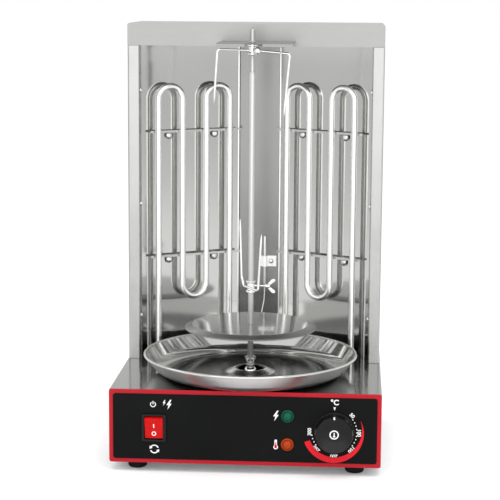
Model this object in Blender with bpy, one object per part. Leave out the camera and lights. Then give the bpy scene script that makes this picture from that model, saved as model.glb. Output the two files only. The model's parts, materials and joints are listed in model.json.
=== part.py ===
"""Vertical rotisserie broiler with two upright heating elements.

Metres, +Z up, +Y towards the back.  The origin lies on the surface that the
feet stand on, under the middle of the whole machine.
"""
import math

import bmesh
import bpy
from mathutils import Matrix, Vector

# ---------------------------------------------------------------- driving sizes
GAP = 0.0003                 # clearance between touching pieces
SHEET = 0.0010               # general sheet metal
THIN = 0.0008                # reflector sheet
FILM = 0.0005                # printed film on the front plate
REACH = 0.01                 # how far a cutter runs past a sheet
TOP_CUT = (0.09, 0.12)       # heights between which a cutter crosses the base's top
BRACKET_CUT = (0.50, 0.53)

BASE_W = 0.3300
BASE_D = 0.2850
BASE_BOTTOM = 0.0120
BASE_TOP = 0.1032

CABINET_W = 0.3268
CABINET_FRONT = 0.1660       # distances in depth count from the base's front face
CABINET_BACK = 0.2835
CABINET_TOP = 0.5390
FASCIA_BOTTOM = 0.5106
POST_W = 0.0140
POST_RETURN = 0.0200

TRAY_R = 0.1349
TRAY_DEPTH = 0.1045          # spit, plate and tray share one vertical axis
TRAY_H = 0.0260
GLAND_OUT = 0.0140

CENTRE_Y = (TRAY_DEPTH - TRAY_R + BASE_D + GLAND_OUT) / 2

PANEL_ANGLE = math.radians(31.0)
PANEL_START_X = 0.1494
PANEL_START_DEPTH = 0.1873
FOLD_X = 0.0273
STANDOFF = 0.0126            # heater tube axis in front of the reflector

TUBE_R = 0.0040
LEG_X = 0.1262               # outermost leg
LEG_PITCH = 0.0294           # measured across the machine
ARCH_TOP = 0.4617
BEND_BOTTOM = 0.1755
HEATER_FOOT = 0.0830
STRIP_Z = (0.2345, 0.3985)

BAR_R = 0.0035
NECK_R = 0.0020
NECK_START = 0.4813
NECK_END = 0.5235
BAR_FOOT = 0.1120
PLATE_Z = 0.1660
PLATE_R = 0.0830
PLATE_FLAT_R = 0.0737

BRACKET_Z = 0.5160           # underside of the top bracket
BRACKET_X = (-0.0435, 0.0505)
BRACKET_FRONT = 0.0900

KNOB_X = 0.1085
KNOB_Z = 0.0557
KNOB_R = 0.0245
KNOB_OUT = 0.0165
SWITCH_X = -0.1100
SWITCH_Z = 0.0563
LAMP_X = 0.0520
LAMP_Z = (0.0393, 0.0745)

GEAR_MODULE = 0.00075
GEAR_TEETH = 48
PINION_TEETH = 12
GEAR_SLACK = 0.00025
GEAR_Z = (0.0850, 0.0930)

GLAND_X, GLAND_Z = -0.1100, 0.0400
LOUVRE_X = (-0.040, 0.055)   # middles of the two groups of slots in the back
DRIVE_PIN_Z = 0.1202
ROCKER_TILT = math.radians(11.0)
PANEL_HOLE_R = 0.0055        # behind the knob
LAMP_HOLE_R = 0.0062
SWITCH_HOLE = (0.0130, 0.0154)          # half sizes across and up
WIRE_R = 0.0014
SCREW_R = 0.0014             # shanks of the fork screws
UPPER_SCREW_Z = 0.5078
LOWER_SCREW_Z = 0.2142
STRIP_SCREW_X = (0.1158, 0.0589)
CLIP_SCREW = (0.0168, 0.2187)          # across the machine, and up
CLIP_HOLE_R = 0.0018

# ---------------------------------------------------------------- scene helpers
for leftover in list(bpy.data.objects):
    bpy.data.objects.remove(leftover)

COLLECTION = bpy.context.scene.collection


def depth(distance):
    """World Y of a distance behind the base's front face."""
    return distance - CENTRE_Y


AXIS_Y = depth(TRAY_DEPTH)


def material(name, colour, roughness, metallic):
    mat = bpy.data.materials.new(name)
    mat.use_nodes = True
    shader = mat.node_tree.nodes["Principled BSDF"]
    shader.inputs["Base Color"].default_value = (*colour, 1.0)
    shader.inputs["Roughness"].default_value = roughness
    shader.inputs["Metallic"].default_value = metallic
    mat.diffuse_color = (*colour, 1.0)
    return mat


def make(name, bm, mat, origin=(0.0, 0.0, 0.0), smooth=None):
    """Turn a bmesh in world coordinates into an object with its origin at ORIGIN."""
    bmesh.ops.recalc_face_normals(bm, faces=bm.faces)
    if bm.calc_volume(signed=True) < 0:
        bmesh.ops.reverse_faces(bm, faces=bm.faces)
    bmesh.ops.translate(bm, verts=bm.verts, vec=-Vector(origin))
    mesh = bpy.data.meshes.new(name)
    bm.to_mesh(mesh)
    bm.free()
    mesh.materials.append(mat)
    if smooth:
        mesh.shade_smooth()
        mesh.set_sharp_from_angle(angle=math.radians(smooth))
    obj = bpy.data.objects.new(name, mesh)
    obj.location = origin
    COLLECTION.objects.link(obj)
    return obj


def combine(obj, bm, operation):
    """Add the shape to OBJ, or take it away, with a hidden helper object."""
    helper = make(f"{obj.name}_{operation.lower()}_{len(obj.modifiers)}", bm, obj.data.materials[0])
    helper.hide_render = True
    helper.display_type = "WIRE"
    modifier = obj.modifiers.new(helper.name, "BOOLEAN")
    modifier.operation = operation
    modifier.object = helper


def cut(obj, bm):
    combine(obj, bm, "DIFFERENCE")


def join(obj, bm):
    combine(obj, bm, "UNION")


def axis_empty(name, location):
    empty = bpy.data.objects.new(name, None)
    empty.location = location
    empty.empty_display_size = 0.02
    COLLECTION.objects.link(empty)
    return empty


def attach(empty, *pieces):
    for piece in pieces:
        piece.parent = empty
        piece.location = piece.location - empty.location


# ---------------------------------------------------------------- shape helpers
def to_xy(a, b, height):
    return (a, b, height)


def to_xz(a, b, height):
    return (a, height, b)


def to_yz(a, b, height):
    return (height, a, b)


def prism(outline, low, high, place=to_xy):
    """Closed solid between two copies of a flat outline."""
    bm = bmesh.new()
    lower = [bm.verts.new(place(a, b, low)) for a, b in outline]
    upper = [bm.verts.new(place(a, b, high)) for a, b in outline]
    count = len(outline)
    caps = [bm.faces.new(lower), bm.faces.new(upper)]
    for i in range(count):
        j = (i + 1) % count
        bm.faces.new((lower[i], lower[j], upper[j], upper[i]))
    bmesh.ops.triangulate(bm, faces=caps, ngon_method="EAR_CLIP")
    return bm


def block(low, high):
    """Box from its lowest to its highest corner."""
    outline = [(low[0], low[1]), (high[0], low[1]), (high[0], high[1]), (low[0], high[1])]
    return prism(outline, low[2], high[2])


def round_corners(points, radius, steps=3, closed=False):
    """Replace the corners of a flat or spatial line by arcs of the radius."""
    points = [Vector(p) for p in points]
    count = len(points)
    result = []
    for i, corner in enumerate(points):
        if not closed and i in (0, count - 1):
            result.append(corner)
            continue
        before = (points[i - 1] - corner).normalized()
        after = (points[(i + 1) % count] - corner).normalized()
        half = before.angle(after) / 2
        if half > math.pi / 2 - 0.01:
            result.append(corner)
            continue
        reach = radius / math.tan(half)
        centre = corner + (before + after).normalized() * (radius / math.sin(half))
        start = corner + before * reach - centre
        end = corner + after * reach - centre
        sweep_angle = start.angle(end)
        for step in range(steps + 1):
            t = step / steps
            weight_a = math.sin((1 - t) * sweep_angle) / math.sin(sweep_angle)
            weight_b = math.sin(t * sweep_angle) / math.sin(sweep_angle)
            result.append(centre + start * weight_a + end * weight_b)
    return result


def rectangle(x0, x1, y0, y1, radius=0.0, steps=3):
    corners = [(x0, y0), (x1, y0), (x1, y1), (x0, y1)]
    if radius == 0.0:
        return corners
    return [tuple(p) for p in round_corners(corners, radius, steps, closed=True)]


def circle(x, y, radius, steps=24):
    return [(x + radius * math.cos(2 * math.pi * i / steps),
             y + radius * math.sin(2 * math.pi * i / steps)) for i in range(steps)]


def sheet_outline(line, thickness):
    """Outline of a bent sheet whose middle follows the flat line."""
    line = [Vector(p) for p in line]
    left, right = [], []
    for i, point in enumerate(line):
        before = (point - line[i - 1]).normalized() if i > 0 else None
        after = (line[i + 1] - point).normalized() if i < len(line) - 1 else None
        along = (before or after) + (after or before)
        along.normalize()
        normal = Vector((-along.y, along.x))
        spread = thickness / 2 / max(0.2, abs(normal.dot(Vector((-(before or after).y, (before or after).x)))))
        left.append(point + normal * spread)
        right.append(point - normal * spread)
    return [tuple(p) for p in left + right[::-1]]


def turned(profile, steps, x=0.0, y=0.0, along_y=False, ring=False):
    """Solid of revolution of (radius, height) points about a line along Z or Y.

    For a line along Y, x and y hold the line's X and Z.
    """
    bm = bmesh.new()
    rows = []
    for radius, height in profile:
        if radius == 0.0:
            point = (x, height, y) if along_y else (x, y, height)
            rows.append([bm.verts.new(point)] * steps)
            continue
        row = []
        for a, b in circle(x, y, radius, steps):
            row.append(bm.verts.new((a, height, b) if along_y else (a, b, height)))
        rows.append(row)
    pairs = list(zip(rows, rows[1:]))
    if ring:
        pairs.append((rows[-1], rows[0]))
    for lower, upper in pairs:
        for i in range(steps):
            j = (i + 1) % steps
            corners = []
            for vert in (lower[i], lower[j], upper[j], upper[i]):
                if vert not in corners:
                    corners.append(vert)
            bm.faces.new(corners)
    return bm


def swept(path, radius, sides):
    """Round wire or tube along the path; RADIUS is one value or one per point."""
    path = [Vector(p) for p in path]
    radii = radius if isinstance(radius, list) else [radius] * len(path)
    bm = bmesh.new()
    rings = []
    across = None
    for i, point in enumerate(path):
        ahead = path[min(i + 1, len(path) - 1)] - path[max(i - 1, 0)]
        ahead.normalize()
        if across is None:
            across = ahead.orthogonal().normalized()
        across = (across - ahead * across.dot(ahead)).normalized()
        other = ahead.cross(across)
        ring = []
        for k in range(sides):
            turn = 2 * math.pi * k / sides
            ring.append(bm.verts.new(point + radii[i] * (across * math.cos(turn) + other * math.sin(turn))))
        rings.append(ring)
    for lower, upper in zip(rings, rings[1:]):
        for k in range(sides):
            j = (k + 1) % sides
            bm.faces.new((lower[k], lower[j], upper[j], upper[k]))
    bm.faces.new(rings[0])
    bm.faces.new(rings[-1])
    return bm


def rod(start, end, radius, sides=16):
    return swept([start, end], radius, sides)


# ---------------------------------------------------------------- materials
STEEL = material("brushed_stainless", (0.62, 0.62, 0.60), 0.30, 1.0)
POLISHED = material("polished_stainless", (0.72, 0.72, 0.71), 0.10, 1.0)
CHROME = material("chromed_steel", (0.80, 0.80, 0.80), 0.06, 1.0)
ELEMENT = material("heater_sheath", (0.70, 0.70, 0.68), 0.22, 1.0)
RED_PAINT = material("red_paint", (0.72, 0.02, 0.03), 0.35, 0.0)
BLACK_PANEL = material("black_panel", (0.012, 0.012, 0.012), 0.35, 0.0)
BLACK_PLASTIC = material("black_plastic", (0.015, 0.015, 0.015), 0.30, 0.0)
RED_PLASTIC = material("red_plastic", (0.75, 0.02, 0.02), 0.20, 0.0)
RUBBER = material("black_rubber", (0.02, 0.02, 0.02), 0.70, 0.0)
GREEN_LENS = material("green_lens", (0.02, 0.35, 0.18), 0.12, 0.0)
AMBER_LENS = material("amber_lens", (0.80, 0.25, 0.04), 0.12, 0.0)
ZINC = material("zinc_steel", (0.55, 0.56, 0.58), 0.40, 1.0)
BRASS = material("brass", (0.70, 0.52, 0.22), 0.28, 1.0)
NYLON = material("white_nylon", (0.80, 0.79, 0.74), 0.45, 0.0)
COPPER = material("copper", (0.75, 0.38, 0.22), 0.30, 1.0)


# ---------------------------------------------------------------- places on the machine
def panel_frame(side, x, standoff, z):
    """Point in front of the slanted reflector, at a distance X from the middle plane."""
    line = PANEL_START_DEPTH - standoff / math.cos(PANEL_ANGLE)
    return Vector((side * x, depth(line + (PANEL_START_X - x) * math.tan(PANEL_ANGLE)), z))


def leg_points(side):
    """Foot points of the heater's four legs, from the post to the middle."""
    return [panel_frame(side, LEG_X - i * LEG_PITCH, STANDOFF, 0.0) for i in range(4)]


SIDES = (("left", -1), ("right", 1))
FEET = [(f"foot_{row}_{name}", side * 0.1335, depth(y))
        for row, y in (("front", 0.0260), ("rear", 0.2560)) for name, side in SIDES]
BULB_X = 0.0083
CENTRE_PANEL = 0.2680
BULB_R = 0.0020
BULB_Y = depth(CENTRE_PANEL - GAP - BULB_R)
CAPILLARY_HOLE = (0.0000, depth(0.2600))
PINION_Y = AXIS_Y + GEAR_MODULE * (GEAR_TEETH + PINION_TEETH) / 2 + 0.0001


# ---------------------------------------------------------------- base
def base():
    shell_front = 0.0018
    outer = rectangle(-BASE_W / 2, BASE_W / 2, BASE_BOTTOM + SHEET + GAP, BASE_TOP)
    outer = outer[:2] + [tuple(p) for p in round_corners(outer, 0.0020, 3, closed=True)[8:]]
    shell = make("base_shell", prism(outer, depth(shell_front), depth(BASE_D), to_xz), STEEL, smooth=30)
    half = BASE_W / 2 - SHEET
    cut(shell, block((-half, depth(-REACH), 0.0), (half, depth(BASE_D - SHEET), BASE_TOP - SHEET)))
    bush_hole, tube_hole, capillary_hole, gland_hole = 0.0068, TUBE_R + 0.0005, 0.0030, 0.0083
    under, over = TOP_CUT
    cut(shell, turned([(0.0, under), (bush_hole, under), (bush_hole, over), (0.0, over)], 24, 0.0, AXIS_Y))
    for _, side in SIDES:
        for leg in (leg_points(side)[0], leg_points(side)[3]):
            cut(shell, prism(circle(leg.x, leg.y, tube_hole, 16), *TOP_CUT))
    cut(shell, prism(circle(*CAPILLARY_HOLE, capillary_hole, 12), *TOP_CUT))
    back_cut = (depth(0.27), depth(0.30))
    cut(shell, prism(circle(GLAND_X, GLAND_Z, gland_hole, 20), *back_cut, to_xz))
    louvre_length, louvre_height, louvre_pitch, lowest_louvre = 0.060, 0.0040, 0.0090, 0.055
    for row in range(4):
        z = lowest_louvre + row * louvre_pitch
        for x in LOUVRE_X:
            slot = rectangle(x - louvre_length / 2, x + louvre_length / 2, z, z + louvre_height)
            cut(shell, prism(slot, *back_cut, to_xz))

    cover = make("bottom_cover", block((-BASE_W / 2, depth(shell_front), BASE_BOTTOM),
                                       (BASE_W / 2, depth(BASE_D), BASE_BOTTOM + SHEET)), ZINC)
    first_vent, vent_pitch, vent_half = -0.050, 0.025, 0.003
    vent_front, vent_back = depth(0.16), depth(0.22)
    for column in range(5):
        x = first_vent + column * vent_pitch
        cut(cover, block((x - vent_half, vent_front, 0.0), (x + vent_half, vent_back, 0.02)))

    recess_r, recess_h, sole_r, foot_r, foot_top = 0.0040, 0.0035, 0.0110, 0.0125, BASE_BOTTOM - GAP
    for name, x, y in FEET:
        profile = [(0.0, recess_h), (recess_r, recess_h), (recess_r, 0.0), (sole_r, 0.0), (0.0120, 0.0010),
                   (foot_r, foot_top), (0.0, foot_top)]
        make(name, turned(profile, 20, x, y), RUBBER, smooth=40)


def front_panel():
    low, high = BASE_BOTTOM, BASE_TOP
    border, thickness, corner = 0.0050, 0.0012, 0.0030
    outline = rectangle(-BASE_W / 2, BASE_W / 2, low, high, corner)
    plate = make("front_plate", prism(outline, depth(GAP), depth(GAP + thickness), to_xz), RED_PAINT)
    outline = rectangle(-BASE_W / 2 + border, BASE_W / 2 - border, low + border, high - border, corner)
    panel = make("control_panel", prism(outline, depth(-FILM), depth(0.0), to_xz), BLACK_PANEL)
    half_x, half_z = SWITCH_HOLE
    for sheet in (plate, panel):
        holes = [circle(KNOB_X, KNOB_Z, PANEL_HOLE_R)]
        holes += [circle(LAMP_X, z, LAMP_HOLE_R) for z in LAMP_Z]
        holes.append(rectangle(SWITCH_X - half_x, SWITCH_X + half_x, SWITCH_Z - half_z, SWITCH_Z + half_z))
        for hole in holes:
            cut(sheet, prism(hole, depth(-REACH), depth(REACH), to_xz))


def switch():
    width, height = 0.0294, 0.0339
    face, back = depth(-0.0032), depth(0.0200)
    outline = rectangle(SWITCH_X - width / 2, SWITCH_X + width / 2, SWITCH_Z - height / 2,
                        SWITCH_Z + height / 2, 0.0015)
    body = make("switch_body", prism(outline, face, depth(-FILM - GAP), to_xz), BLACK_PLASTIC)
    box_x, box_z, well_x, well_z, well_floor = 0.0127, 0.0151, 0.01155, 0.01445, 0.0120
    join(body, block((SWITCH_X - box_x, face, SWITCH_Z - box_z), (SWITCH_X + box_x, back, SWITCH_Z + box_z)))
    well = rectangle(SWITCH_X - well_x, SWITCH_X + well_x, SWITCH_Z - well_z, SWITCH_Z + well_z)
    cut(body, prism(well, depth(-REACH), depth(well_floor), to_xz))
    tab_x, tab_z, tab_out = 0.0004, 0.003, 0.008
    for x in (-0.006, 0.006):
        join(body, block((SWITCH_X + x - tab_x, back - 0.001, SWITCH_Z - tab_z),
                         (SWITCH_X + x + tab_x, back + tab_out, SWITCH_Z + tab_z)))

    pivot = (SWITCH_X, depth(0.0030), SWITCH_Z)
    lean = Matrix.Rotation(ROCKER_TILT, 2)
    hollow, half_width = -0.0068, 0.0112
    half = [(-0.0085, 0.0124), (0.0020, 0.0108), (0.0045, 0.0060)]
    outline = [(hollow, 0.0)] + half + [(y, -z) for y, z in half[::-1]]
    points = [lean @ Vector(p) for p in outline]
    outline = [(p.x + pivot[1], p.y + pivot[2]) for p in points]
    return make("switch_rocker", prism(outline, SWITCH_X - half_width, SWITCH_X + half_width, to_yz),
                RED_PLASTIC, pivot)


def lamps():
    for name, z, mat in (("heat_lamp", LAMP_Z[0], AMBER_LENS), ("power_lamp", LAMP_Z[1], GREEN_LENS)):
        face = depth(-FILM - GAP)
        radius = 0.0078
        profile = [(0.0, face), (radius, face), (radius, face - 0.0016), (0.0070, face - 0.0028),
                   (0.0050, face - 0.0040), (0.0026, face - 0.0046), (0.0, face - 0.0048)]
        make(f"{name}_lens", turned(profile, 20, LAMP_X, z, along_y=True), mat, smooth=40)
        barrel_r, barrel_end, tail_r, tail_end = 0.0058, depth(0.0180), 0.0030, depth(0.0240)
        profile = [(0.0, face + GAP), (barrel_r, face + GAP), (barrel_r, barrel_end), (tail_r, barrel_end),
                   (tail_r, tail_end), (0.0, tail_end)]
        make(f"{name}_holder", turned(profile, 16, LAMP_X, z, along_y=True), BLACK_PLASTIC, smooth=40)


def thermostat():
    face = depth(-FILM - GAP)
    front = depth(-FILM - KNOB_OUT)
    bore, bore_end, boss_end = 0.0033, front + 0.0070, face - 0.0004
    dish = [(0.0, front + 0.0045), (0.0110, front + 0.0042), (0.0190, front + 0.0026), (0.0208, front + 0.0004)]
    skirt = [(0.0218, front), (0.0224, front + 0.0008), (0.0232, face - 0.0042), (KNOB_R, face - 0.0030),
             (KNOB_R, face)]
    inside = [(0.0220, face), (0.0212, front + 0.0070), (0.0075, front + 0.0080), (0.0070, boss_end),
              (bore, boss_end), (bore, bore_end), (0.0, bore_end)]
    knob = make("thermostat_knob", turned(dish + skirt + inside, 28, KNOB_X, KNOB_Z, along_y=True), BLACK_PLASTIC,
                (KNOB_X, face, KNOB_Z), smooth=35)
    spindle_r, spindle_end = 0.0030, 0.0120
    spindle = make("thermostat_spindle",
                   rod((KNOB_X, front + 0.0073, KNOB_Z), (KNOB_X, depth(spindle_end), KNOB_Z), spindle_r),
                   ZINC, (KNOB_X, face, KNOB_Z), smooth=40)
    half_x, half_z, body_front, body_back = 0.018, 0.019, 0.0018, 0.0270
    body = make("thermostat_body",
                block((KNOB_X - half_x, depth(body_front), KNOB_Z - half_z),
                      (KNOB_X + half_x, depth(body_back), KNOB_Z + half_z)), ZINC)
    cut(body, prism(circle(KNOB_X, KNOB_Z, spindle_r + 0.0004, 16), depth(0.0), depth(0.0125), to_xz))
    tab_x, tab_z, tab_end = 0.0032, 0.0004, 0.0350
    for x in (-0.010, 0.010):
        join(body, block((KNOB_X + x - tab_x, depth(0.0265), KNOB_Z - tab_z),
                         (KNOB_X + x + tab_x, depth(tab_end), KNOB_Z + tab_z)))
    return knob, spindle


# ---------------------------------------------------------------- drive train
def gear_outline(teeth, turn, x, y):
    """Involute teeth; TURN is the direction of one tooth's middle."""
    pressure = math.radians(20.0)
    pitch = GEAR_MODULE * teeth / 2
    base_radius = pitch * math.cos(pressure)
    tip = pitch + 0.85 * GEAR_MODULE
    root = pitch - 1.15 * GEAR_MODULE
    half_pitch_tooth = math.pi / (2 * teeth) - GEAR_SLACK / (2 * pitch)
    outline = []
    for tooth in range(teeth):
        middle = turn + 2 * math.pi * tooth / teeth
        for flank, radii in ((-1, (root, tip)), (1, (tip, root))):
            for radius in radii:
                roll = math.acos(base_radius / max(radius, base_radius))
                half = half_pitch_tooth + (math.tan(pressure) - pressure) - (math.tan(roll) - roll)
                angle = middle + flank * half
                outline.append((x + radius * math.cos(angle), y + radius * math.sin(angle)))
    return outline


def drive():
    housing_low, housing_high, floor_sheet = 0.0790, 0.0982, 0.0025
    shaft_r, shaft_hole, pinion_r, pinion_hole = 0.0030, 0.0034, 0.0020, 0.0026
    outline = rectangle(-0.0230, 0.0230, AXIS_Y - 0.0230, PINION_Y + 0.0130, 0.0050)
    housing = make("gearbox_housing", prism(outline, housing_low, housing_high), ZINC)
    inner = rectangle(-0.0208, 0.0208, AXIS_Y - 0.0208, PINION_Y + 0.0108, 0.0035)
    cut(housing, prism(inner, housing_low + floor_sheet, TOP_CUT[1]))
    cut(housing, prism(circle(0.0, PINION_Y, pinion_hole, 16), 0.07, 0.09))

    under_top, flange_r, flange_low, counterbore = BASE_TOP - SHEET - GAP, 0.0090, 0.1003, 0.0093
    cover = make("gearbox_cover", prism(outline, housing_high + GAP, under_top), ZINC)
    cut(cover, prism(circle(0.0, AXIS_Y, shaft_hole, 20), *TOP_CUT))
    cut(cover, prism(circle(0.0, AXIS_Y, counterbore, 24), flange_low - GAP, TOP_CUT[1]))

    can_low, can_top, can_r, chamfer, well = 0.0520, housing_low - GAP, 0.0250, 0.0015, 0.0060
    profile = [(0.0, can_low), (can_r - chamfer, can_low), (can_r, can_low + chamfer), (can_r, can_top),
               (pinion_hole, can_top), (pinion_hole, can_top - well), (0.0, can_top - well)]
    make("motor_can", turned(profile, 24, 0.0, PINION_Y), ZINC, smooth=40)

    bush_r, bush_top = 0.0065, BASE_TOP + 0.0002
    profile = [(shaft_hole, flange_low), (flange_r, flange_low), (flange_r, under_top), (bush_r, under_top),
               (bush_r, bush_top), (shaft_hole, bush_top)]
    make("shaft_bush", turned(profile, 16, 0.0, AXIS_Y, ring=True), BRASS, smooth=40)

    pinion_gear = prism(gear_outline(PINION_TEETH, -math.pi / 2 + math.pi / PINION_TEETH, 0.0, PINION_Y),
                        GEAR_Z[0] - 0.0005, GEAR_Z[1] + 0.0005)
    pinion = make("motor_pinion", pinion_gear, BRASS, (0.0, PINION_Y, GEAR_Z[0]))
    low, high = 0.0735, 0.0960
    join(pinion, turned([(0.0, low), (pinion_r, low), (pinion_r, high), (0.0, high)], 14, 0.0, PINION_Y))

    shaft_foot, shaft_top = 0.0820, 0.1092
    shaft = make("drive_shaft", rod((0.0, AXIS_Y, shaft_foot), (0.0, AXIS_Y, shaft_top), shaft_r), ZINC,
                 (0.0, AXIS_Y, shaft_foot), smooth=40)
    gear = make("output_gear", prism(gear_outline(GEAR_TEETH, math.pi / 2, 0.0, AXIS_Y), *GEAR_Z), NYLON,
                (0.0, AXIS_Y, GEAR_Z[0]))
    press_fit = shaft_r + GAP
    cut(gear, prism(circle(0.0, AXIS_Y, press_fit, 16), 0.08, 0.10))

    crown_top, socket_floor, socket_r, foot, shaft_end = 0.1236, 0.1115, 0.0039, 0.1038, shaft_top + GAP
    socket = [(0.0, socket_floor), (socket_r, socket_floor), (socket_r, crown_top)]
    crown = [(0.0068, crown_top), (0.0071, crown_top - 0.0008), (0.0056, 0.1185), (0.0053, 0.1150),
             (0.0058, 0.1112), (0.0046, 0.1100), (0.0046, 0.1090)]
    dome = [(0.0062, 0.1085), (0.0077, 0.1068), (0.0080, 0.1050), (0.0080, foot)]
    bore = [(press_fit, foot), (press_fit, shaft_end), (0.0, shaft_end)]
    hub = make("drive_hub", turned(socket + crown + dome + bore, 20, 0.0, AXIS_Y), CHROME,
               (0.0, AXIS_Y, crown_top), smooth=35)
    slot, notch_low, notch_high = 0.0014, DRIVE_PIN_Z - 0.0014, 0.13
    cut(hub, block((-REACH, AXIS_Y - slot, notch_low), (REACH, AXIS_Y + slot, notch_high)))
    cut(hub, block((-slot, AXIS_Y - REACH, notch_low), (slot, AXIS_Y + REACH, notch_high)))
    return pinion, [shaft, gear, hub]


# ---------------------------------------------------------------- spit
def spit():
    profile = [(0.0, BAR_FOOT), (0.0028, BAR_FOOT), (BAR_R, BAR_FOOT + 0.0008), (BAR_R, NECK_START),
               (NECK_R, NECK_START + 0.0006), (NECK_R, NECK_END - 0.0006), (0.0014, NECK_END), (0.0, NECK_END)]
    origin = (0.0, AXIS_Y, BAR_FOOT)
    bar = make("spit_bar", turned(profile, 16, 0.0, AXIS_Y), STEEL, origin, smooth=40)
    pin_r, pin_half = 0.0010, 0.0066
    cut(bar, rod((-REACH, AXIS_Y, DRIVE_PIN_Z), (REACH, AXIS_Y, DRIVE_PIN_Z), pin_r + GAP, 12))
    pin = make("drive_pin", rod((-pin_half, AXIS_Y, DRIVE_PIN_Z), (pin_half, AXIS_Y, DRIVE_PIN_Z), pin_r, 12),
               CHROME, origin, smooth=40)

    sheet, hole = 0.0012, BAR_R + GAP
    rim_z = PLATE_Z - 0.0046
    profile = [(hole, PLATE_Z), (PLATE_FLAT_R, PLATE_Z), (PLATE_R - 0.0012, rim_z + 0.0006), (PLATE_R, rim_z),
               (PLATE_R - 0.0008, rim_z - sheet + 0.0003), (PLATE_FLAT_R - 0.0008, PLATE_Z - sheet),
               (hole, PLATE_Z - sheet)]
    plate = make("meat_plate", turned(profile, 40, 0.0, AXIS_Y, ring=True), POLISHED, origin, smooth=20)

    top = PLATE_Z - sheet - GAP
    foot, collar_r, chamfer, screw_z = 0.1515, 0.0090, 0.0010, 0.158
    profile = [(hole, top), (collar_r, top), (collar_r, foot + chamfer), (collar_r - chamfer, foot),
               (hole, foot)]
    collar = make("plate_collar", turned(profile, 16, 0.0, AXIS_Y, ring=True), CHROME, origin, smooth=35)
    cut(collar, rod((0.0, AXIS_Y - 2 * REACH, screw_z), (0.0, AXIS_Y, screw_z), 0.0020, 12))
    return [bar, pin, plate, collar]


def top_pin():
    shoulder, stem_foot, socket_top = BRACKET_Z + SHEET + GAP, 0.5140, NECK_END + GAP
    socket_r, stem_r, collar_r, shank_r = NECK_R + GAP, 0.0029, 0.0041, 0.0032
    stem = [(0.0, socket_top), (socket_r, socket_top), (socket_r, stem_foot), (stem_r, stem_foot),
            (stem_r, shoulder)]
    collar = [(collar_r, shoulder), (collar_r, shoulder + 0.0014), (shank_r, shoulder + 0.0020)]
    nose = [(shank_r, 0.5318), (0.0028, 0.5338), (0.0018, 0.5354), (0.0008, 0.5362), (0.0, 0.5364)]
    return make("top_pin", turned(stem + collar + nose, 14, 0.0, AXIS_Y), CHROME, (0.0, AXIS_Y, shoulder),
                smooth=40)


def spool(name, low, high, screw_direction, screw_z):
    """Turned collar with two flanges and a threaded hole for its clamping screw."""
    flange, waist, bore, edge = 0.0062, 0.0047, BAR_R + GAP + 0.0001, 0.0026
    profile = [(bore, low), (flange, low), (flange, low + edge - 0.0006), (waist, low + edge),
               (waist, high - edge), (flange, high - edge + 0.0006), (flange, high), (bore, high)]
    collar = make(name, turned(profile, 16, 0.0, AXIS_Y, ring=True), CHROME, (0.0, AXIS_Y, low), smooth=35)
    start = Vector((0.0, AXIS_Y, screw_z))
    cut(collar, rod(start, start + screw_direction * 0.012, 0.0018, 14))
    return collar


def prongs(name, points, origin_z, bend):
    """Pointed wire fork; points are offsets from the spit axis, with true heights."""
    corners = [Vector((x, AXIS_Y + y, z)) for x, y, z in points]
    path = round_corners(corners, bend, 3)
    taper, point_r = 0.012, 0.0002
    start = path[0] + (path[1] - path[0]).normalized() * taper
    end = path[-1] + (path[-2] - path[-1]).normalized() * taper
    path = [path[0], start] + path[1:-1] + [end, path[-1]]
    radii = [point_r] + [WIRE_R] * (len(path) - 2) + [point_r]
    return make(name, swept(path, radii, 8), CHROME, (0.0, AXIS_Y, origin_z), smooth=40)


def upper_fork():
    low, high = 0.5026, 0.5152
    direction = Vector((0.56, -0.83, 0.0)).normalized()
    collar = spool("upper_fork_collar", low, high, direction, UPPER_SCREW_Z)
    points = [(-0.0479, 0.0066, 0.4420), (-0.0438, 0.0066, 0.5083), (0.0, 0.0066, 0.5078),
              (0.0460, 0.0066, 0.5038), (0.0389, 0.0066, 0.4266)]
    wire = prongs("upper_fork_prongs", points, low, 0.0040)

    ball = 0.0044
    reach = 0.0118
    start = Vector((0.0, AXIS_Y, UPPER_SCREW_Z)) + direction * (BAR_R + 2 * GAP)
    centre = Vector((0.0, AXIS_Y, UPPER_SCREW_Z)) + direction * reach
    screw = make("upper_fork_screw", rod(start, centre, SCREW_R, 12), CHROME, centre, smooth=50)
    head = bmesh.new()
    bmesh.ops.create_uvsphere(head, u_segments=12, v_segments=8, radius=ball,
                              matrix=Matrix.Translation(centre))
    join(screw, head)
    return collar, wire, screw


def lower_fork():
    low, high = 0.2060, 0.2206
    direction = Vector((1.0, 0.0, 0.0))
    collar = spool("lower_fork_collar", low, high, direction, LOWER_SCREW_Z)
    points = [(-0.0143, 0.0030, 0.2980), (-0.0118, 0.0015, 0.2255), (-0.0089, -0.0012, 0.2140),
              (0.0098, -0.0160, 0.2105), (0.0138, -0.0170, 0.2820)]
    wire = prongs("lower_fork_prongs", points, low, 0.0022)

    start = Vector((BAR_R + 2 * GAP, AXIS_Y, LOWER_SCREW_Z))
    hub_start = Vector((0.0180, AXIS_Y, LOWER_SCREW_Z))
    hub_end = Vector((0.0238, AXIS_Y, LOWER_SCREW_Z))
    screw = make("lower_fork_screw", rod(start, hub_start + Vector((0.001, 0.0, 0.0)), SCREW_R, 12), CHROME,
                 hub_start, smooth=40)
    hub_r, wing_half = 0.0030, 0.0010
    join(screw, rod(hub_start, hub_end, hub_r, 14))
    for side in (-1, 1):
        wing = [(0.0195, side * 0.0010), (0.0265, side * 0.0088), (0.0300, side * 0.0092),
                (0.0308, side * 0.0066), (0.0235, side * 0.0006)]
        outline = [(x, LOWER_SCREW_Z + z) for x, z in wing]
        join(screw, prism(outline, AXIS_Y - wing_half, AXIS_Y + wing_half, to_xz))
    return collar, wire, screw


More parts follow.
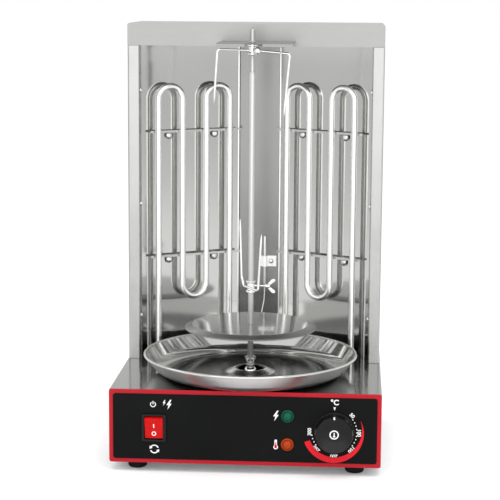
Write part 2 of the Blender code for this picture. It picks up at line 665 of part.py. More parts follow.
# ---------------------------------------------------------------- drip tray
def drip_tray():
    """Pressed bowl with a rolled rim and a raised lip round its middle hole."""
    floor = BASE_TOP + GAP
    sheet = THIN
    wall_radius = 0.0300
    inside = [(0.0168, floor + 0.0048), (0.0190, floor + 0.0056), (0.0215, floor + 0.0050),
              (0.0300, floor + 0.0014), (0.0335, floor + sheet)]
    foot = 0.1010
    steps = 3
    end_angle = math.radians(46.0)
    for i in range(steps + 1):
        angle = end_angle * i / steps
        inside.append((foot + (wall_radius - sheet) * math.sin(angle),
                       floor + wall_radius - (wall_radius - sheet) * math.cos(angle)))
    bead_r = 0.0016
    rim_r, rim_z = TRAY_R - bead_r, floor + TRAY_H - 0.0018
    outside = []
    for i in range(steps + 1):
        angle = end_angle * (1 - i / steps)
        outside.append((foot + wall_radius * math.sin(angle), floor + wall_radius * (1 - math.cos(angle))))
    outside += [(0.0338, floor), (0.0303, floor + 0.0004), (0.0215, floor + 0.0040), (0.0190, floor + 0.0046),
                (0.0172, floor + 0.0038)]
    bead = []
    for i in range(5):
        angle = math.radians(200.0 - i * 72.0)
        bead.append((rim_r + bead_r * math.cos(angle), rim_z + bead_r * math.sin(angle)))
    profile = inside + bead + outside
    return make("drip_tray", turned(profile, 48, 0.0, AXIS_Y, ring=True), POLISHED, (0.0, AXIS_Y, floor),
                smooth=30)


# ---------------------------------------------------------------- cabinet
def cabinet():
    half, back, front = CABINET_W / 2, depth(CABINET_BACK), depth(CABINET_FRONT)
    low, high = BASE_TOP + GAP, FASCIA_BOTTOM - GAP
    s = SHEET / 2
    inner = half - POST_W
    right = [(half - s, back - s), (half - s, front + s), (inner - s, front + s), (inner - s, front + POST_RETURN)]
    line = [(-x, y) for x, y in right[::-1]] + right
    bend = 0.0015
    line = [tuple(p) for p in round_corners(line, bend, 3)]
    make("cabinet_wrap", prism(sheet_outline(line, SHEET), low, high), STEEL, smooth=30)

    outer = rectangle(-half, half, FASCIA_BOTTOM, CABINET_TOP)
    outer = outer[:2] + [tuple(p) for p in round_corners(outer, 0.0030, 3, closed=True)[8:]]
    cap = make("top_cap", prism(outer, front, back, to_xz), STEEL, smooth=30)
    cut(cap, block((-half + SHEET, front + SHEET, FASCIA_BOTTOM + SHEET),
                   (half - SHEET, back - SHEET, CABINET_TOP - SHEET)))
    below, return_flange = BRACKET_CUT[0], 0.0100
    cut(cap, block((-half + SHEET, front + return_flange, below),
                   (half - SHEET, back - SHEET, CABINET_TOP - SHEET)))
    for side in (-1, 1):
        near, far = sorted((side * (inner - 0.0015), side * (half - SHEET)))
        cut(cap, block((near, front + SHEET, below), (far, front + 0.0120, CABINET_TOP - SHEET)))


def reflectors():
    low, high = BASE_TOP + GAP, CABINET_TOP - SHEET - GAP
    t = THIN / 2
    fold_depth = PANEL_START_DEPTH + (PANEL_START_X - FOLD_X) * math.tan(PANEL_ANGLE)
    for name, side in SIDES:
        line = [(side * (PANEL_START_X + GAP + t), depth(0.1700)),
                (side * (PANEL_START_X + GAP + t), depth(PANEL_START_DEPTH + t)),
                (side * (FOLD_X - t), depth(fold_depth + t)),
                (side * (FOLD_X - t), depth(0.2765))]
        make(f"reflector_{name}", prism(sheet_outline(line, THIN), low, high), STEEL)
    half = FOLD_X - THIN - GAP
    panel = make("centre_panel", block((-half, depth(CENTRE_PANEL), low),
                                       (half, depth(CENTRE_PANEL + THIN), high)), STEEL)
    cut(panel, prism(circle(*CLIP_SCREW, CLIP_HOLE_R, 12), depth(0.26), depth(0.28), to_xz))


def heaters():
    pitch_in_plane = LEG_PITCH / math.cos(PANEL_ANGLE)
    bend = pitch_in_plane / 2
    top = ARCH_TOP - TUBE_R - bend
    bottom = BEND_BOTTOM + TUBE_R + bend
    steps = 8
    stud_r, stud_length = 0.0014, 0.012
    nut_r, nut_low, nut_hole = 0.0082, 0.0960, TUBE_R + 0.0004
    for name, side in SIDES:
        legs = leg_points(side)
        ends = [Vector((0.0, 0.0, HEATER_FOOT + rise)) for rise in (-stud_length, 0.0, 0.0002)]
        path = [legs[0] + end for end in ends]
        for i in range(3):
            middle = (legs[i] + legs[i + 1]) / 2
            towards = (legs[i + 1] - legs[i]).normalized()
            level, up = (top, 1) if i % 2 == 0 else (bottom, -1)
            for step in range(steps + 1):
                angle = math.pi * step / steps
                path.append(middle + Vector((0.0, 0.0, level + up * bend * math.sin(angle)))
                            - towards * bend * math.cos(angle))
        path += [legs[3] + end for end in ends[::-1]]
        radii = [stud_r, stud_r] + [TUBE_R] * (len(path) - 4) + [stud_r, stud_r]
        make(f"heater_{name}", swept(path, radii, 8), ELEMENT, smooth=50)

        for label, leg in (("outer", legs[0]), ("inner", legs[3])):
            nut = make(f"heater_nut_{name}_{label}",
                       prism(circle(leg.x, leg.y, nut_r, 6), nut_low, BASE_TOP - SHEET - GAP), BRASS)
            cut(nut, prism(circle(leg.x, leg.y, nut_hole, 16), 0.09, 0.11))


def heater_strips():
    """Thin rails behind the tubes, each on two small feet that are screwed to the reflector."""
    rail_back, rail_front, rail_half = STANDOFF - TUBE_R - GAP - 0.0012, STANDOFF - TUBE_R - GAP, 0.0014
    outer_x, inner_x, foot_half = 0.1405, 0.0290, 0.0045
    for name, side in SIDES:
        start = panel_frame(side, outer_x, 0.0, 0.0)
        end = panel_frame(side, inner_x, 0.0, 0.0)
        along = (end - start).normalized()
        out = Vector((-side * math.sin(PANEL_ANGLE), -math.cos(PANEL_ANGLE), 0.0))
        length = (end - start).length

        def along_rail(outwards, z, distance):
            return tuple(start + along * distance + out * outwards + Vector((0.0, 0.0, z)))

        for label, z in zip(("lower", "upper"), STRIP_Z):
            rail = rectangle(rail_back, rail_front, z - rail_half, z + rail_half)
            strip = make(f"heater_strip_{label}_{name}", prism(rail, 0.0, length, along_rail), STEEL)
            foot = [(GAP, z - 0.0100), (GAP + 0.0009, z - 0.0100), (GAP + 0.0009, z - 0.0004),
                    (rail_front - 0.0004, z - 0.0004), (rail_front - 0.0004, z + 0.0005), (GAP, z + 0.0005)]
            for x in STRIP_SCREW_X:
                middle = (outer_x - x) / math.cos(PANEL_ANGLE)
                join(strip, prism(foot, middle - foot_half, middle + foot_half, along_rail))


def top_bracket():
    """Flanged plate that stands out from the fascia and guides the top of the spit."""
    front, rear = depth(BRACKET_FRONT), depth(CABINET_FRONT - GAP)
    under, over = BRACKET_Z, BRACKET_Z + SHEET
    lip, flange = under - 0.0036, under - 0.0048
    outline = [(front, lip), (front + SHEET, lip), (front + SHEET, under), (rear - SHEET, under),
               (rear - SHEET, flange), (rear, flange), (rear, over), (front, over)]
    bracket = make("top_bracket", prism(outline, *BRACKET_X, to_yz), STEEL)
    notch_x, pin_hole = (-0.0090, 0.0130), 0.0032
    cut(bracket, block((notch_x[0], front - 0.002, BRACKET_CUT[0]), (notch_x[1], front + 2 * SHEET, under)))
    cut(bracket, prism(circle(0.0, AXIS_Y, pin_hole, 20), *BRACKET_CUT))


def bulb_and_fittings():
    top, foot, neck, neck_r = 0.2535, 0.1770, 0.1862, 0.0011
    profile = [(0.0, top), (0.0014, top), (BULB_R, top - 0.0007), (BULB_R, 0.1880), (neck_r, neck),
               (neck_r, foot), (0.0, foot)]
    make("thermostat_bulb", turned(profile, 14, BULB_X, BULB_Y), CHROME, smooth=40)

    x_hole, y_hole = CAPILLARY_HOLE
    inner = KNOB_X - 0.008
    points = [(BULB_X, BULB_Y, foot - GAP), (BULB_X - 0.0005, BULB_Y - 0.001, 0.1650),
              (0.0040, depth(0.2620), 0.1450),
              (x_hole, y_hole, 0.1250), (x_hole, y_hole, 0.0880), (0.0120, depth(0.2450), 0.0560),
              (0.0450, depth(0.2000), 0.0420), (0.0850, depth(0.1200), 0.0420), (inner, depth(0.0600), 0.0560),
              (inner, depth(0.0274), 0.0640)]
    capillary_r, capillary_bend = 0.0008, 0.0060
    make("capillary_tube", swept(round_corners(points, capillary_bend, 2), capillary_r, 6), COPPER, smooth=60)

    z0, z1 = 0.2115, 0.2260
    s = 0.0007
    skin = BULB_Y + BULB_R - s / 2
    crest = BULB_Y - BULB_R - GAP - s / 2
    wall = BULB_R + GAP + s / 2
    line = [(BULB_X - 0.0070, skin), (BULB_X - wall, skin), (BULB_X - wall, crest), (BULB_X + wall, crest),
            (BULB_X + wall, skin), (0.0238, skin)]
    line = [tuple(p) for p in round_corners(line, 0.0006, 2)]
    clip = make("bulb_clip", prism(sheet_outline(line, s), z0, z1), POLISHED)
    cut(clip, prism(circle(*CLIP_SCREW, CLIP_HOLE_R, 12), depth(0.255), depth(0.275), to_xz))
    head, shank_r, shank_length = skin - s / 2 - GAP, 0.0015, 0.0080
    profile = [(0.0, head - 0.0020), (0.0018, head - 0.0017), (0.0030, head - 0.0008), (0.0034, head),
               (shank_r, head), (shank_r, head + shank_length), (0.0, head + shank_length)]
    make("bulb_clip_screw", turned(profile, 16, *CLIP_SCREW, along_y=True), ZINC, smooth=40)


def wiring_fittings():
    back = depth(BASE_D)
    bore, cap_r, neck_r, nut_r, outside, inside = 0.0045, 0.0105, 0.0080, 0.0100, back + GAP, back - SHEET - GAP
    cap = [(bore, back + GLAND_OUT), (0.0062, back + GLAND_OUT), (0.0078, back + 0.0070), (cap_r, back + 0.0060),
           (cap_r, outside)]
    nut = [(neck_r, outside), (neck_r, inside), (nut_r, inside), (nut_r, back - 0.0060), (bore, back - 0.0060)]
    make("cable_gland", turned(cap + nut, 16, GLAND_X, GLAND_Z, along_y=True, ring=True), BLACK_PLASTIC,
         smooth=35)

    low = BASE_BOTTOM + SHEET + GAP
    x0, x1, y, half_depth, height = -0.1250, -0.0650, depth(0.2100), 0.0090, 0.0130
    blocks = make("terminal_block", block((x0, y - half_depth, low), (x1, y + half_depth, low + height)), NYLON)
    pitch, wire_z, wire_hole, screw_hole = 0.0120, low + 0.0060, 0.0028, 0.0022
    for i in range(5):
        x = x0 + pitch / 2 + i * pitch
        cut(blocks, prism(circle(x, wire_z, wire_hole, 10), y - 2 * REACH, y + 2 * REACH, to_xz))
        cut(blocks, prism(circle(x, y, screw_hole, 10), wire_z, low + 2 * REACH))


base()
front_panel()
rocker_piece = switch()
lamps()
knob_piece, spindle_piece = thermostat()
pinion_piece, driven_pieces = drive()
spit_pieces = spit()
pin_piece = top_pin()
upper_collar, upper_wire, upper_screw = upper_fork()
lower_collar, lower_wire, lower_screw = lower_fork()
tray_piece = drip_tray()
cabinet()
reflectors()
heaters()
heater_strips()
top_bracket()
bulb_and_fittings()
wiring_fittings()

bpy.context.view_layer.update()
attach(axis_empty("spit_axis", Vector((0.0, AXIS_Y, BASE_TOP))), *driven_pieces, *spit_pieces, pin_piece,
       upper_collar, upper_wire, upper_screw, lower_collar, lower_wire, lower_screw)
attach(axis_empty("pinion_axis", pinion_piece.location.copy()), pinion_piece)
attach(axis_empty("tray_axis", tray_piece.location.copy()), tray_piece)
attach(axis_empty("knob_axis", knob_piece.location.copy()), knob_piece, spindle_piece)
attach(axis_empty("rocker_axis", rocker_piece.location.copy()), rocker_piece)
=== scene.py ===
"""Looks of the vertical rotisserie broiler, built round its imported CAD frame.

Metres, +Z up, +Y towards the back, as in the frame.  Places come from the boxes
of the CAD nodes; the sizes below are those that a box doesn't tell.
"""
import json
import math

import bmesh
import bpy
from mathutils import Matrix, Vector


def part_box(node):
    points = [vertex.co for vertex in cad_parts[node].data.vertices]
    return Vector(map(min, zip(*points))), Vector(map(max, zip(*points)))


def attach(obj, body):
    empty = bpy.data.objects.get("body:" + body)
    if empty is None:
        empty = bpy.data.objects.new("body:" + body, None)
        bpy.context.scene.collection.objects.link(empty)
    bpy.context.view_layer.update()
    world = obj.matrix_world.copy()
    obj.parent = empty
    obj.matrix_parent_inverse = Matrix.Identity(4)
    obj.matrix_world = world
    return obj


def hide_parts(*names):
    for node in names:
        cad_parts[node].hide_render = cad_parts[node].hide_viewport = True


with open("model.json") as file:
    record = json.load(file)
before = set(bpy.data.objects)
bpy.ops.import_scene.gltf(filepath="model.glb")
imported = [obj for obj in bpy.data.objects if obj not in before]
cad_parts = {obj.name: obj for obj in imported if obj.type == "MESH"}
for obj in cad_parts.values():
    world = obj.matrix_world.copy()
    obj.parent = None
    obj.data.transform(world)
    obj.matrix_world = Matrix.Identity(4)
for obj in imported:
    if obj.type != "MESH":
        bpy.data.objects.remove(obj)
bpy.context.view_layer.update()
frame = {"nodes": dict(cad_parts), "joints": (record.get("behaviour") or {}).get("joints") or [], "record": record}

# ------------------------------ driving sizes
GAP = 0.0003                  # clearance that the frame keeps between pieces
SHEET = 0.0010                # general sheet metal
THIN = 0.0008                 # reflectors and tray
BAR_R = 0.0035                # spit bar
NECK_R = 0.0020               # its thinner top
NECK_START = 0.4813           # height where the bar narrows
PLATE_FLAT_R = 0.0737         # flat middle of the meat plate
PLATE_SHEET = 0.0012
TUBE_R = 0.0040               # heater tube
TUBE_SIDES = 8                # sides of the tube in the frame, whose box is a little smaller
BEND_BOTTOM = 0.1755          # foot of the heaters' lower bends
WIRE_R = 0.0014               # fork wires and the shanks of the fork screws
PRINT = 0.00006               # half the thickness of the printing on the panel
LAMP_R = 0.0078
KNOB_FACE_R = 0.0218
POST_W = 0.0140
SLANT = math.radians(31.0)    # how far a reflector's wing turns from facing the front
WING_BACK = 0.0173            # from a reflector's front edge to the start of its wing
WING_X = 0.1494               # how far from the middle the wing starts
BRACKET_HOLE_R = 0.0032       # hole for the top pin
CLEAR = 0.01                  # how far a cutter reaches past a surface

SIDES = (("left", -1), ("right", 1))


def middle(node):
    low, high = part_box(node)
    return (low + high) / 2


AXIS_Y = middle("spit_bar").y
PANEL_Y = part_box("control_panel")[0].y
KNOB = middle("thermostat_knob")
SWITCH = middle("switch_body")
LAMPS = {name: middle(f"{name}_lamp_lens") for name in ("power", "heat")}


# ------------------------------ shape helpers
def to_xy(a, b, height):
    return (a, b, height)


def to_xz(a, b, height):
    return (a, height, b)


def to_yz(a, b, height):
    return (height, a, b)


def arc(x, y, radius, start, end, steps):
    """Points on an arc; the angles are in degrees."""
    angles = [math.radians(start + (end - start) * i / steps) for i in range(steps + 1)]
    return [(x + radius * math.cos(a), y + radius * math.sin(a)) for a in angles]


def circle(x, y, radius, steps=48):
    return arc(x, y, radius, 0.0, 360.0, steps)[:-1]


def round_corners(points, radius, steps=6, closed=False):
    """Replace the corners of a flat or spatial line by arcs of the radius."""
    points = [Vector(p) for p in points]
    count = len(points)
    result = []
    nearly_straight = math.pi / 2 - 0.01
    for i, corner in enumerate(points):
        before = (points[i - 1] - corner).normalized()
        after = (points[(i + 1) % count] - corner).normalized()
        half = before.angle(after) / 2
        if half > nearly_straight or (not closed and i in (0, count - 1)):
            result.append(corner)
            continue
        reach = radius / math.tan(half)
        centre = corner + (before + after).normalized() * (radius / math.sin(half))
        start = corner + before * reach - centre
        end = corner + after * reach - centre
        turn = start.angle(end)
        for step in range(steps + 1):
            t = step / steps
            a = math.sin((1 - t) * turn) / math.sin(turn)
            b = math.sin(t * turn) / math.sin(turn)
            result.append(centre + start * a + end * b)
    return result


def rectangle(x0, x1, y0, y1, radius=0.0):
    corners = [(x0, y0), (x1, y0), (x1, y1), (x0, y1)]
    return round_corners(corners, radius, closed=True) if radius else corners


def around(x, y, half_x, half_y, radius=0.0):
    """Rectangle centred on a point."""
    return rectangle(x - half_x, x + half_x, y - half_y, y + half_y, radius)


def crossed(x, y, wide, narrow):
    """Two slots that cross at a point."""
    return [around(x, y, wide, narrow), around(x, y, narrow, wide)]


def sheet_outline(line, thickness):
    """Outline of a bent sheet whose middle follows the flat line."""
    line = [Vector(p) for p in line]
    left, right = [], []
    for i, point in enumerate(line):
        before = (point - line[i - 1]).normalized() if i > 0 else None
        after = (line[i + 1] - point).normalized() if i < len(line) - 1 else None
        along = ((before or after) + (after or before)).normalized()
        normal = Vector((-along.y, along.x))
        left.append(point + normal * thickness / 2)
        right.append(point - normal * thickness / 2)
    return left + right[::-1]


def prism(outline, low, high, place=to_xy):
    """Closed solid between two copies of a flat outline."""
    bm = bmesh.new()
    lower = [bm.verts.new(place(a, b, low)) for a, b in outline]
    upper = [bm.verts.new(place(a, b, high)) for a, b in outline]
    bm.faces.new(lower)
    bm.faces.new(upper)
    for i in range(len(outline)):
        j = (i + 1) % len(outline)
        bm.faces.new((lower[i], lower[j], upper[j], upper[i]))
    return bm


def turned(profile, x=0.0, y=0.0, along_y=False, ring=False, steps=96):
    """Solid of revolution of (radius, height) points about a line along Z or Y.

    For a line along Y, x and y hold the line's X and Z.
    """
    bm = bmesh.new()
    rows = []
    for radius, height in profile:
        if radius == 0.0:
            rows.append([bm.verts.new((x, height, y) if along_y else (x, y, height))] * steps)
        else:
            rows.append([bm.verts.new((a, height, b) if along_y else (a, b, height))
                         for a, b in circle(x, y, radius, steps)])
    pairs = list(zip(rows, rows[1:])) + ([(rows[-1], rows[0])] if ring else [])
    for lower, upper in pairs:
        for i in range(steps):
            j = (i + 1) % steps
            corners = list(dict.fromkeys((lower[i], lower[j], upper[j], upper[i])))
            bm.faces.new(corners)
    return bm


def swept(path, radius, sides=20):
    """Round wire or tube along the path; RADIUS is one value or one per point."""
    path = [Vector(p) for p in path]
    radii = radius if isinstance(radius, list) else [radius] * len(path)
    bm = bmesh.new()
    rings = []
    across = None
    for i, point in enumerate(path):
        ahead = (path[min(i + 1, len(path) - 1)] - path[max(i - 1, 0)]).normalized()
        across = across or ahead.orthogonal().normalized()
        across = (across - ahead * across.dot(ahead)).normalized()
        other = ahead.cross(across)
        rings.append([bm.verts.new(point + radii[i] * (across * a + other * b))
                      for a, b in circle(0.0, 0.0, 1.0, sides)])
    for lower, upper in zip(rings, rings[1:]):
        for k in range(sides):
            j = (k + 1) % sides
            bm.faces.new((lower[k], lower[j], upper[j], upper[k]))
    bm.faces.new(rings[0])
    bm.faces.new(rings[-1])
    return bm


def rod(start, end, radius, sides=32):
    """Round bar whose ends are softened."""
    start, end = Vector(start), Vector(end)
    ahead = (end - start).normalized()
    soft = radius * 0.2
    path = [start, start + ahead * soft, end - ahead * soft, end]
    return swept(path, [radius - soft, radius, radius, radius - soft], sides)


def loose_mesh(bm):
    """Mesh of a closed shape, with its faces turned outwards."""
    bmesh.ops.recalc_face_normals(bm, faces=bm.faces)
    if bm.calc_volume(signed=True) < 0:
        bmesh.ops.reverse_faces(bm, faces=bm.faces)
    mesh = bpy.data.meshes.new("loose")
    bm.to_mesh(mesh)
    bm.free()
    return mesh


def merged(*shapes):
    """One mesh that holds all the shapes."""
    result = bmesh.new()
    for shape in shapes:
        mesh = loose_mesh(shape)
        result.from_mesh(mesh)
        bpy.data.meshes.remove(mesh)
    return result


def shown(name, data):
    """Object of a mesh, light, curve or camera, linked into the scene."""
    obj = bpy.data.objects.new(name, data)
    bpy.context.scene.collection.objects.link(obj)
    return obj


def carved(bm, *cutters):
    """The shape with the cutters taken away."""
    body, *tools = [shown("loose", loose_mesh(shape)) for shape in (bm, *cutters)]
    for tool in tools:
        modifier = body.modifiers.new("cut", "BOOLEAN")
        modifier.operation = "DIFFERENCE"
        modifier.object = tool
    result = bmesh.new()
    result.from_object(body, bpy.context.evaluated_depsgraph_get())
    for obj in (body, *tools):
        mesh = obj.data
        bpy.data.objects.remove(obj)
        bpy.data.meshes.remove(mesh)
    return result


def lettering(text, size, x, z, turn=0.0):
    """Raised figures that stand on the panel's face, centred on a point."""
    curve = bpy.data.curves.new("figures", "FONT")
    curve.body = text
    curve.size = size
    curve.extrude = PRINT / 2
    curve.offset = size * 0.03      # makes the strokes bolder
    curve.align_x = curve.align_y = "CENTER"
    obj = shown("figures", curve)
    mesh = bpy.data.meshes.new_from_object(obj.evaluated_get(bpy.context.evaluated_depsgraph_get()))
    bm = bmesh.new()
    bm.from_mesh(mesh)
    bpy.data.meshes.remove(mesh)
    bpy.data.objects.remove(obj)
    bpy.data.curves.remove(curve)
    upright = Matrix.Rotation(turn, 4, "Y") @ Matrix.Rotation(math.radians(90), 4, "X")
    bmesh.ops.transform(bm, matrix=Matrix.Translation((x, PANEL_Y - PRINT / 2, z)) @ upright, verts=bm.verts)
    return bm


# ------------------------------ materials
def node(tree, kind, **settings):
    """A new shader node with its settings."""
    made = tree.nodes.new(kind)
    for key, value in settings.items():
        setattr(made, key, value)
    return made


def ramp(tree, source, from_low, from_high, to_low=0.0, to_high=1.0):
    """A value stretched from one span to another."""
    made = node(tree, "ShaderNodeMapRange")
    spans = {"From Min": from_low, "From Max": from_high, "To Min": to_low, "To Max": to_high}
    for socket, value in spans.items():
        made.inputs[socket].default_value = value
    tree.links.new(source, made.inputs["Value"])
    return made.outputs["Result"]


def noise(tree, source, scale, detail, roughness=0.5):
    """Cloudy value over a surface."""
    made = node(tree, "ShaderNodeTexNoise")
    made.inputs["Scale"].default_value = scale
    made.inputs["Detail"].default_value = detail
    made.inputs["Roughness"].default_value = roughness
    tree.links.new(source, made.inputs["Vector"])
    return made.outputs["Fac"]


def finish(name, colour, roughness, metallic, grain, bump=0.03, spread=0.05, patches=22.0, tint=0.06,
           specular=None, wear=None):
    """Material with grain in its bump and roughness, and broad patches in its colour and gloss.

    GRAIN holds how often the grain repeats in a metre along X, Y and Z, PATCHES the same for the
    patches, SPREAD how far the roughness strays, TINT how far the colour does, and WEAR the colour
    of rubbed edges.
    """
    mat = bpy.data.materials.new(name)
    mat.use_nodes = True
    tree = mat.node_tree
    shader = tree.nodes["Principled BSDF"]
    link = tree.links.new
    shader.inputs["Metallic"].default_value = metallic
    if specular is not None:
        shader.inputs["Specular IOR Level"].default_value = specular
    place = node(tree, "ShaderNodeTexCoord")
    mapping = node(tree, "ShaderNodeMapping")
    mapping.inputs["Scale"].default_value = grain
    link(place.outputs["Object"], mapping.inputs["Vector"])
    fine = noise(tree, mapping.outputs["Vector"], 1.0, 4.0, 0.6)
    broad = noise(tree, place.outputs["Object"], patches, 3.0)
    both = node(tree, "ShaderNodeMath", operation="ADD")
    link(fine, both.inputs[0])
    link(broad, both.inputs[1])
    gloss = ramp(tree, both.outputs[0], 0.6, 1.4, max(0.01, roughness - spread), roughness + spread)
    link(gloss, shader.inputs["Roughness"])

    shade = node(tree, "ShaderNodeMix", data_type="RGBA")
    shade.inputs[6].default_value = (*[c * (1 - tint) for c in colour], 1.0)
    shade.inputs[7].default_value = (*[min(1.0, c * (1 + tint)) for c in colour], 1.0)
    link(ramp(tree, both.outputs[0], 0.7, 1.3), shade.inputs[0])
    surface = shade.outputs[2]
    if wear is not None:
        edges = node(tree, "ShaderNodeNewGeometry")
        rubbed = node(tree, "ShaderNodeMix", data_type="RGBA")
        rubbed.inputs[7].default_value = (*wear, 1.0)
        link(ramp(tree, edges.outputs["Pointiness"], 0.54, 0.62, 0.0, 0.6), rubbed.inputs[0])
        link(surface, rubbed.inputs[6])
        surface = rubbed.outputs[2]
    link(surface, shader.inputs["Base Color"])

    relief = node(tree, "ShaderNodeBump")
    relief.inputs["Strength"].default_value = bump
    relief.inputs["Distance"].default_value = 0.0003
    link(fine, relief.inputs["Height"])
    link(relief.outputs["Normal"], shader.inputs["Normal"])
    return mat


def even(count):
    """Grain that repeats equally often along X, Y and Z."""
    return (count, count, count)


ALONG_X, ALONG_Z = (40.0, 2600.0, 2600.0), (2600.0, 2600.0, 30.0)
METAL, DULL = 1.0, 0.0
FINISHES = {
    # colour, roughness, metallic, grain, bump, spread, patches, tint
    "brushed_stainless": ((0.56, 0.56, 0.545), 0.26, METAL, ALONG_Z, 0.02),
    "cabinet_sheet": ((0.45, 0.45, 0.44), 0.26, METAL, ALONG_Z, 0.02),
    "cap_sheet": ((0.32, 0.32, 0.312), 0.30, METAL, ALONG_X, 0.02),
    "reflector_sheet": ((0.58, 0.58, 0.565), 0.09, METAL, ALONG_Z, 0.0015, 0.02, 12.0, 0.03),
    # painted shade: the recessed centre panel gets a dark copy of the steel for its shade and dark reflection
    "channel_painted_shade": ((0.24, 0.24, 0.235), 0.20, METAL, ALONG_Z, 0.008, 0.04, 12.0, 0.06),
    "base_sheet": ((0.24, 0.24, 0.233), 0.11, METAL, ALONG_X, 0.012, 0.03),
    "polished_stainless": ((0.60, 0.60, 0.59), 0.08, METAL, even(300.0), 0.006, 0.03, 9.0, 0.03),
    "plate_sheet": ((0.36, 0.36, 0.35), 0.13, METAL, ALONG_X, 0.006, 0.03, 12.0, 0.05),
    # painted shade: darker, rougher copy of the plate's steel for its sloping rim
    "plate_rim_painted_shade": ((0.27, 0.27, 0.265), 0.30, METAL, even(600.0), 0.004, 0.04, 14.0, 0.05),
    "chromed_steel": ((0.86, 0.86, 0.86), 0.12, METAL, even(600.0), 0.006, 0.04, 40.0, 0.03),
    "heater_sheath": ((0.95, 0.95, 0.93), 0.20, 0.92, even(600.0), 0.001, 0.02, 12.0, 0.02),
    "satin_bar": ((0.56, 0.56, 0.55), 0.34, 0.80, ALONG_Z, 0.004, 0.04, 20.0, 0.03),
    # painted shade: near-black copy of the tray's steel for its floor
    "tray_floor_painted_shade": ((0.065, 0.065, 0.064), 0.16, METAL, even(260.0), 0.004, 0.04, 9.0, 0.05),
    # satin outside of the tray; its colour, lighter than the polished inside, is painted light
    "tray_outside_painted_light": ((0.84, 0.84, 0.83), 0.30, METAL, (90.0, 90.0, 2600.0), 0.01, 0.05, 9.0, 0.04),
    "bracket_sheet": ((0.27, 0.27, 0.265), 0.30, METAL, ALONG_X, 0.02),
    "screw_head": ((0.93, 0.93, 0.93), 0.30, 0.90, even(600.0), 0.004, 0.04, 60.0, 0.03),
    # painted shadow: near-black disc under the screw heads that stands for the shade round them
    "painted_screw_shadow": ((0.10, 0.10, 0.10), 0.40, METAL, even(600.0), 0.01, 0.05, 60.0, 0.08),
    "bulb_metal": ((0.86, 0.86, 0.85), 0.30, 0.55, even(600.0), 0.004, 0.04, 40.0, 0.03),
    # painted shade: darker copy of the chrome for the top pin, standing for the dark reflections round it
    "pin_chrome_painted_shade": ((0.42, 0.42, 0.42), 0.12, METAL, even(600.0), 0.006, 0.04, 40.0, 0.04),
    # painted highlight: near-white copy of the reflector steel for the strip along its folds
    "painted_fold_highlight": ((0.92, 0.92, 0.91), 0.30, 0.90, ALONG_Z, 0.004, 0.04, 12.0, 0.03),
    "zinc_steel": ((0.70, 0.70, 0.71), 0.28, METAL, even(420.0), 0.03, 0.08, 60.0, 0.10),
    "brass": ((0.70, 0.52, 0.22), 0.28, METAL, even(600.0), 0.03, 0.06, 70.0, 0.08),
    "copper": ((0.80, 0.79, 0.77), 0.28, METAL, even(800.0), 0.03, 0.06, 50.0, 0.08),
    "red_paint": ((0.43, 0.006, 0.015), 0.34, DULL, even(900.0), 0.03, 0.05, 22.0, 0.05),
    "black_panel": ((0.0065, 0.0070, 0.0068), 0.38, DULL, even(1500.0), 0.02, 0.06, 14.0, 0.15),
    "black_plastic": ((0.006, 0.006, 0.006), 0.28, DULL, even(1800.0), 0.02, 0.05, 60.0, 0.10),
    "red_plastic": ((0.56, 0.003, 0.003), 0.24, DULL, even(1200.0), 0.01, 0.04, 80.0, 0.04),
    "black_rubber": ((0.008, 0.008, 0.008), 0.65, DULL, even(2500.0), 0.10, 0.08, 90.0, 0.20),
    "green_lens": ((0.001, 0.080, 0.048), 0.10, DULL, even(900.0), 0.005, 0.03, 22.0, 0.05),
    "amber_lens": ((0.36, 0.038, 0.001), 0.10, DULL, even(900.0), 0.005, 0.03, 22.0, 0.05),
    "white_nylon": ((0.80, 0.79, 0.74), 0.45, DULL, even(900.0), 0.04, 0.05, 22.0, 0.03),
    "white_print": ((0.88, 0.88, 0.87), 0.50, DULL, even(900.0), 0.02, 0.05, 22.0, 0.03),
    "red_print": ((0.72, 0.006, 0.018), 0.45, DULL, even(900.0), 0.02),
}
SPECULAR = {"red_paint": 0.2, "black_panel": 0.05, "black_plastic": 0.25, "red_plastic": 0.15,
            "black_rubber": 0.15, "green_lens": 0.25, "amber_lens": 0.25, "red_print": 0.2}
WEAR = {"red_paint": (0.70, 0.06, 0.06), "black_plastic": (0.03, 0.03, 0.03)}
MATERIALS = {name: finish(name, *row, specular=SPECULAR.get(name), wear=WEAR.get(name))
             for name, row in FINISHES.items()}
LOOKS = {"base_shell": "base_sheet", "top_cap": "cap_sheet", "top_bracket": "bracket_sheet",
         "cabinet_wrap": "cabinet_sheet", "reflector_left": "reflector_sheet",
         "reflector_right": "reflector_sheet", "centre_panel": "channel_painted_shade",
         "meat_plate": "plate_sheet", "spit_bar": "satin_bar", "thermostat_bulb": "bulb_metal",
         "bulb_clip": "screw_head", "bulb_clip_screw": "chromed_steel", "top_pin": "pin_chrome_painted_shade"}
BODY_OF = {name: body for body, names in frame["record"]["behaviour"]["bodies"].items() for name in names}
SLOT_OF = {part["node"]: part["material_slot"] for part in frame["record"]["subparts"]}
for name, cad_object in frame["nodes"].items():
    cad_object.data.materials.clear()
    cad_object.data.materials.append(MATERIALS[LOOKS.get(name, SLOT_OF[name])])


def piece(name, bm, body, slot, look=None, smooth=35.0, bevel=0.0):
    """Turn a mesh in the row frame into a shown piece that rides on a body."""
    bmesh.ops.recalc_face_normals(bm, faces=bm.faces)
    mesh = bpy.data.meshes.new(name)
    bm.to_mesh(mesh)
    bm.free()
    mesh.materials.append(MATERIALS[look or slot])
    mesh.shade_smooth()
    mesh.set_sharp_from_angle(angle=math.radians(smooth))
    obj = shown(name, mesh)
    if bevel:
        modifier = obj.modifiers.new("soft_edges", "BEVEL")
        modifier.width = bevel
        modifier.segments = 3
        modifier.limit_method = "ANGLE"
        modifier.angle_limit = math.radians(smooth)
    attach(obj, body)
    return obj


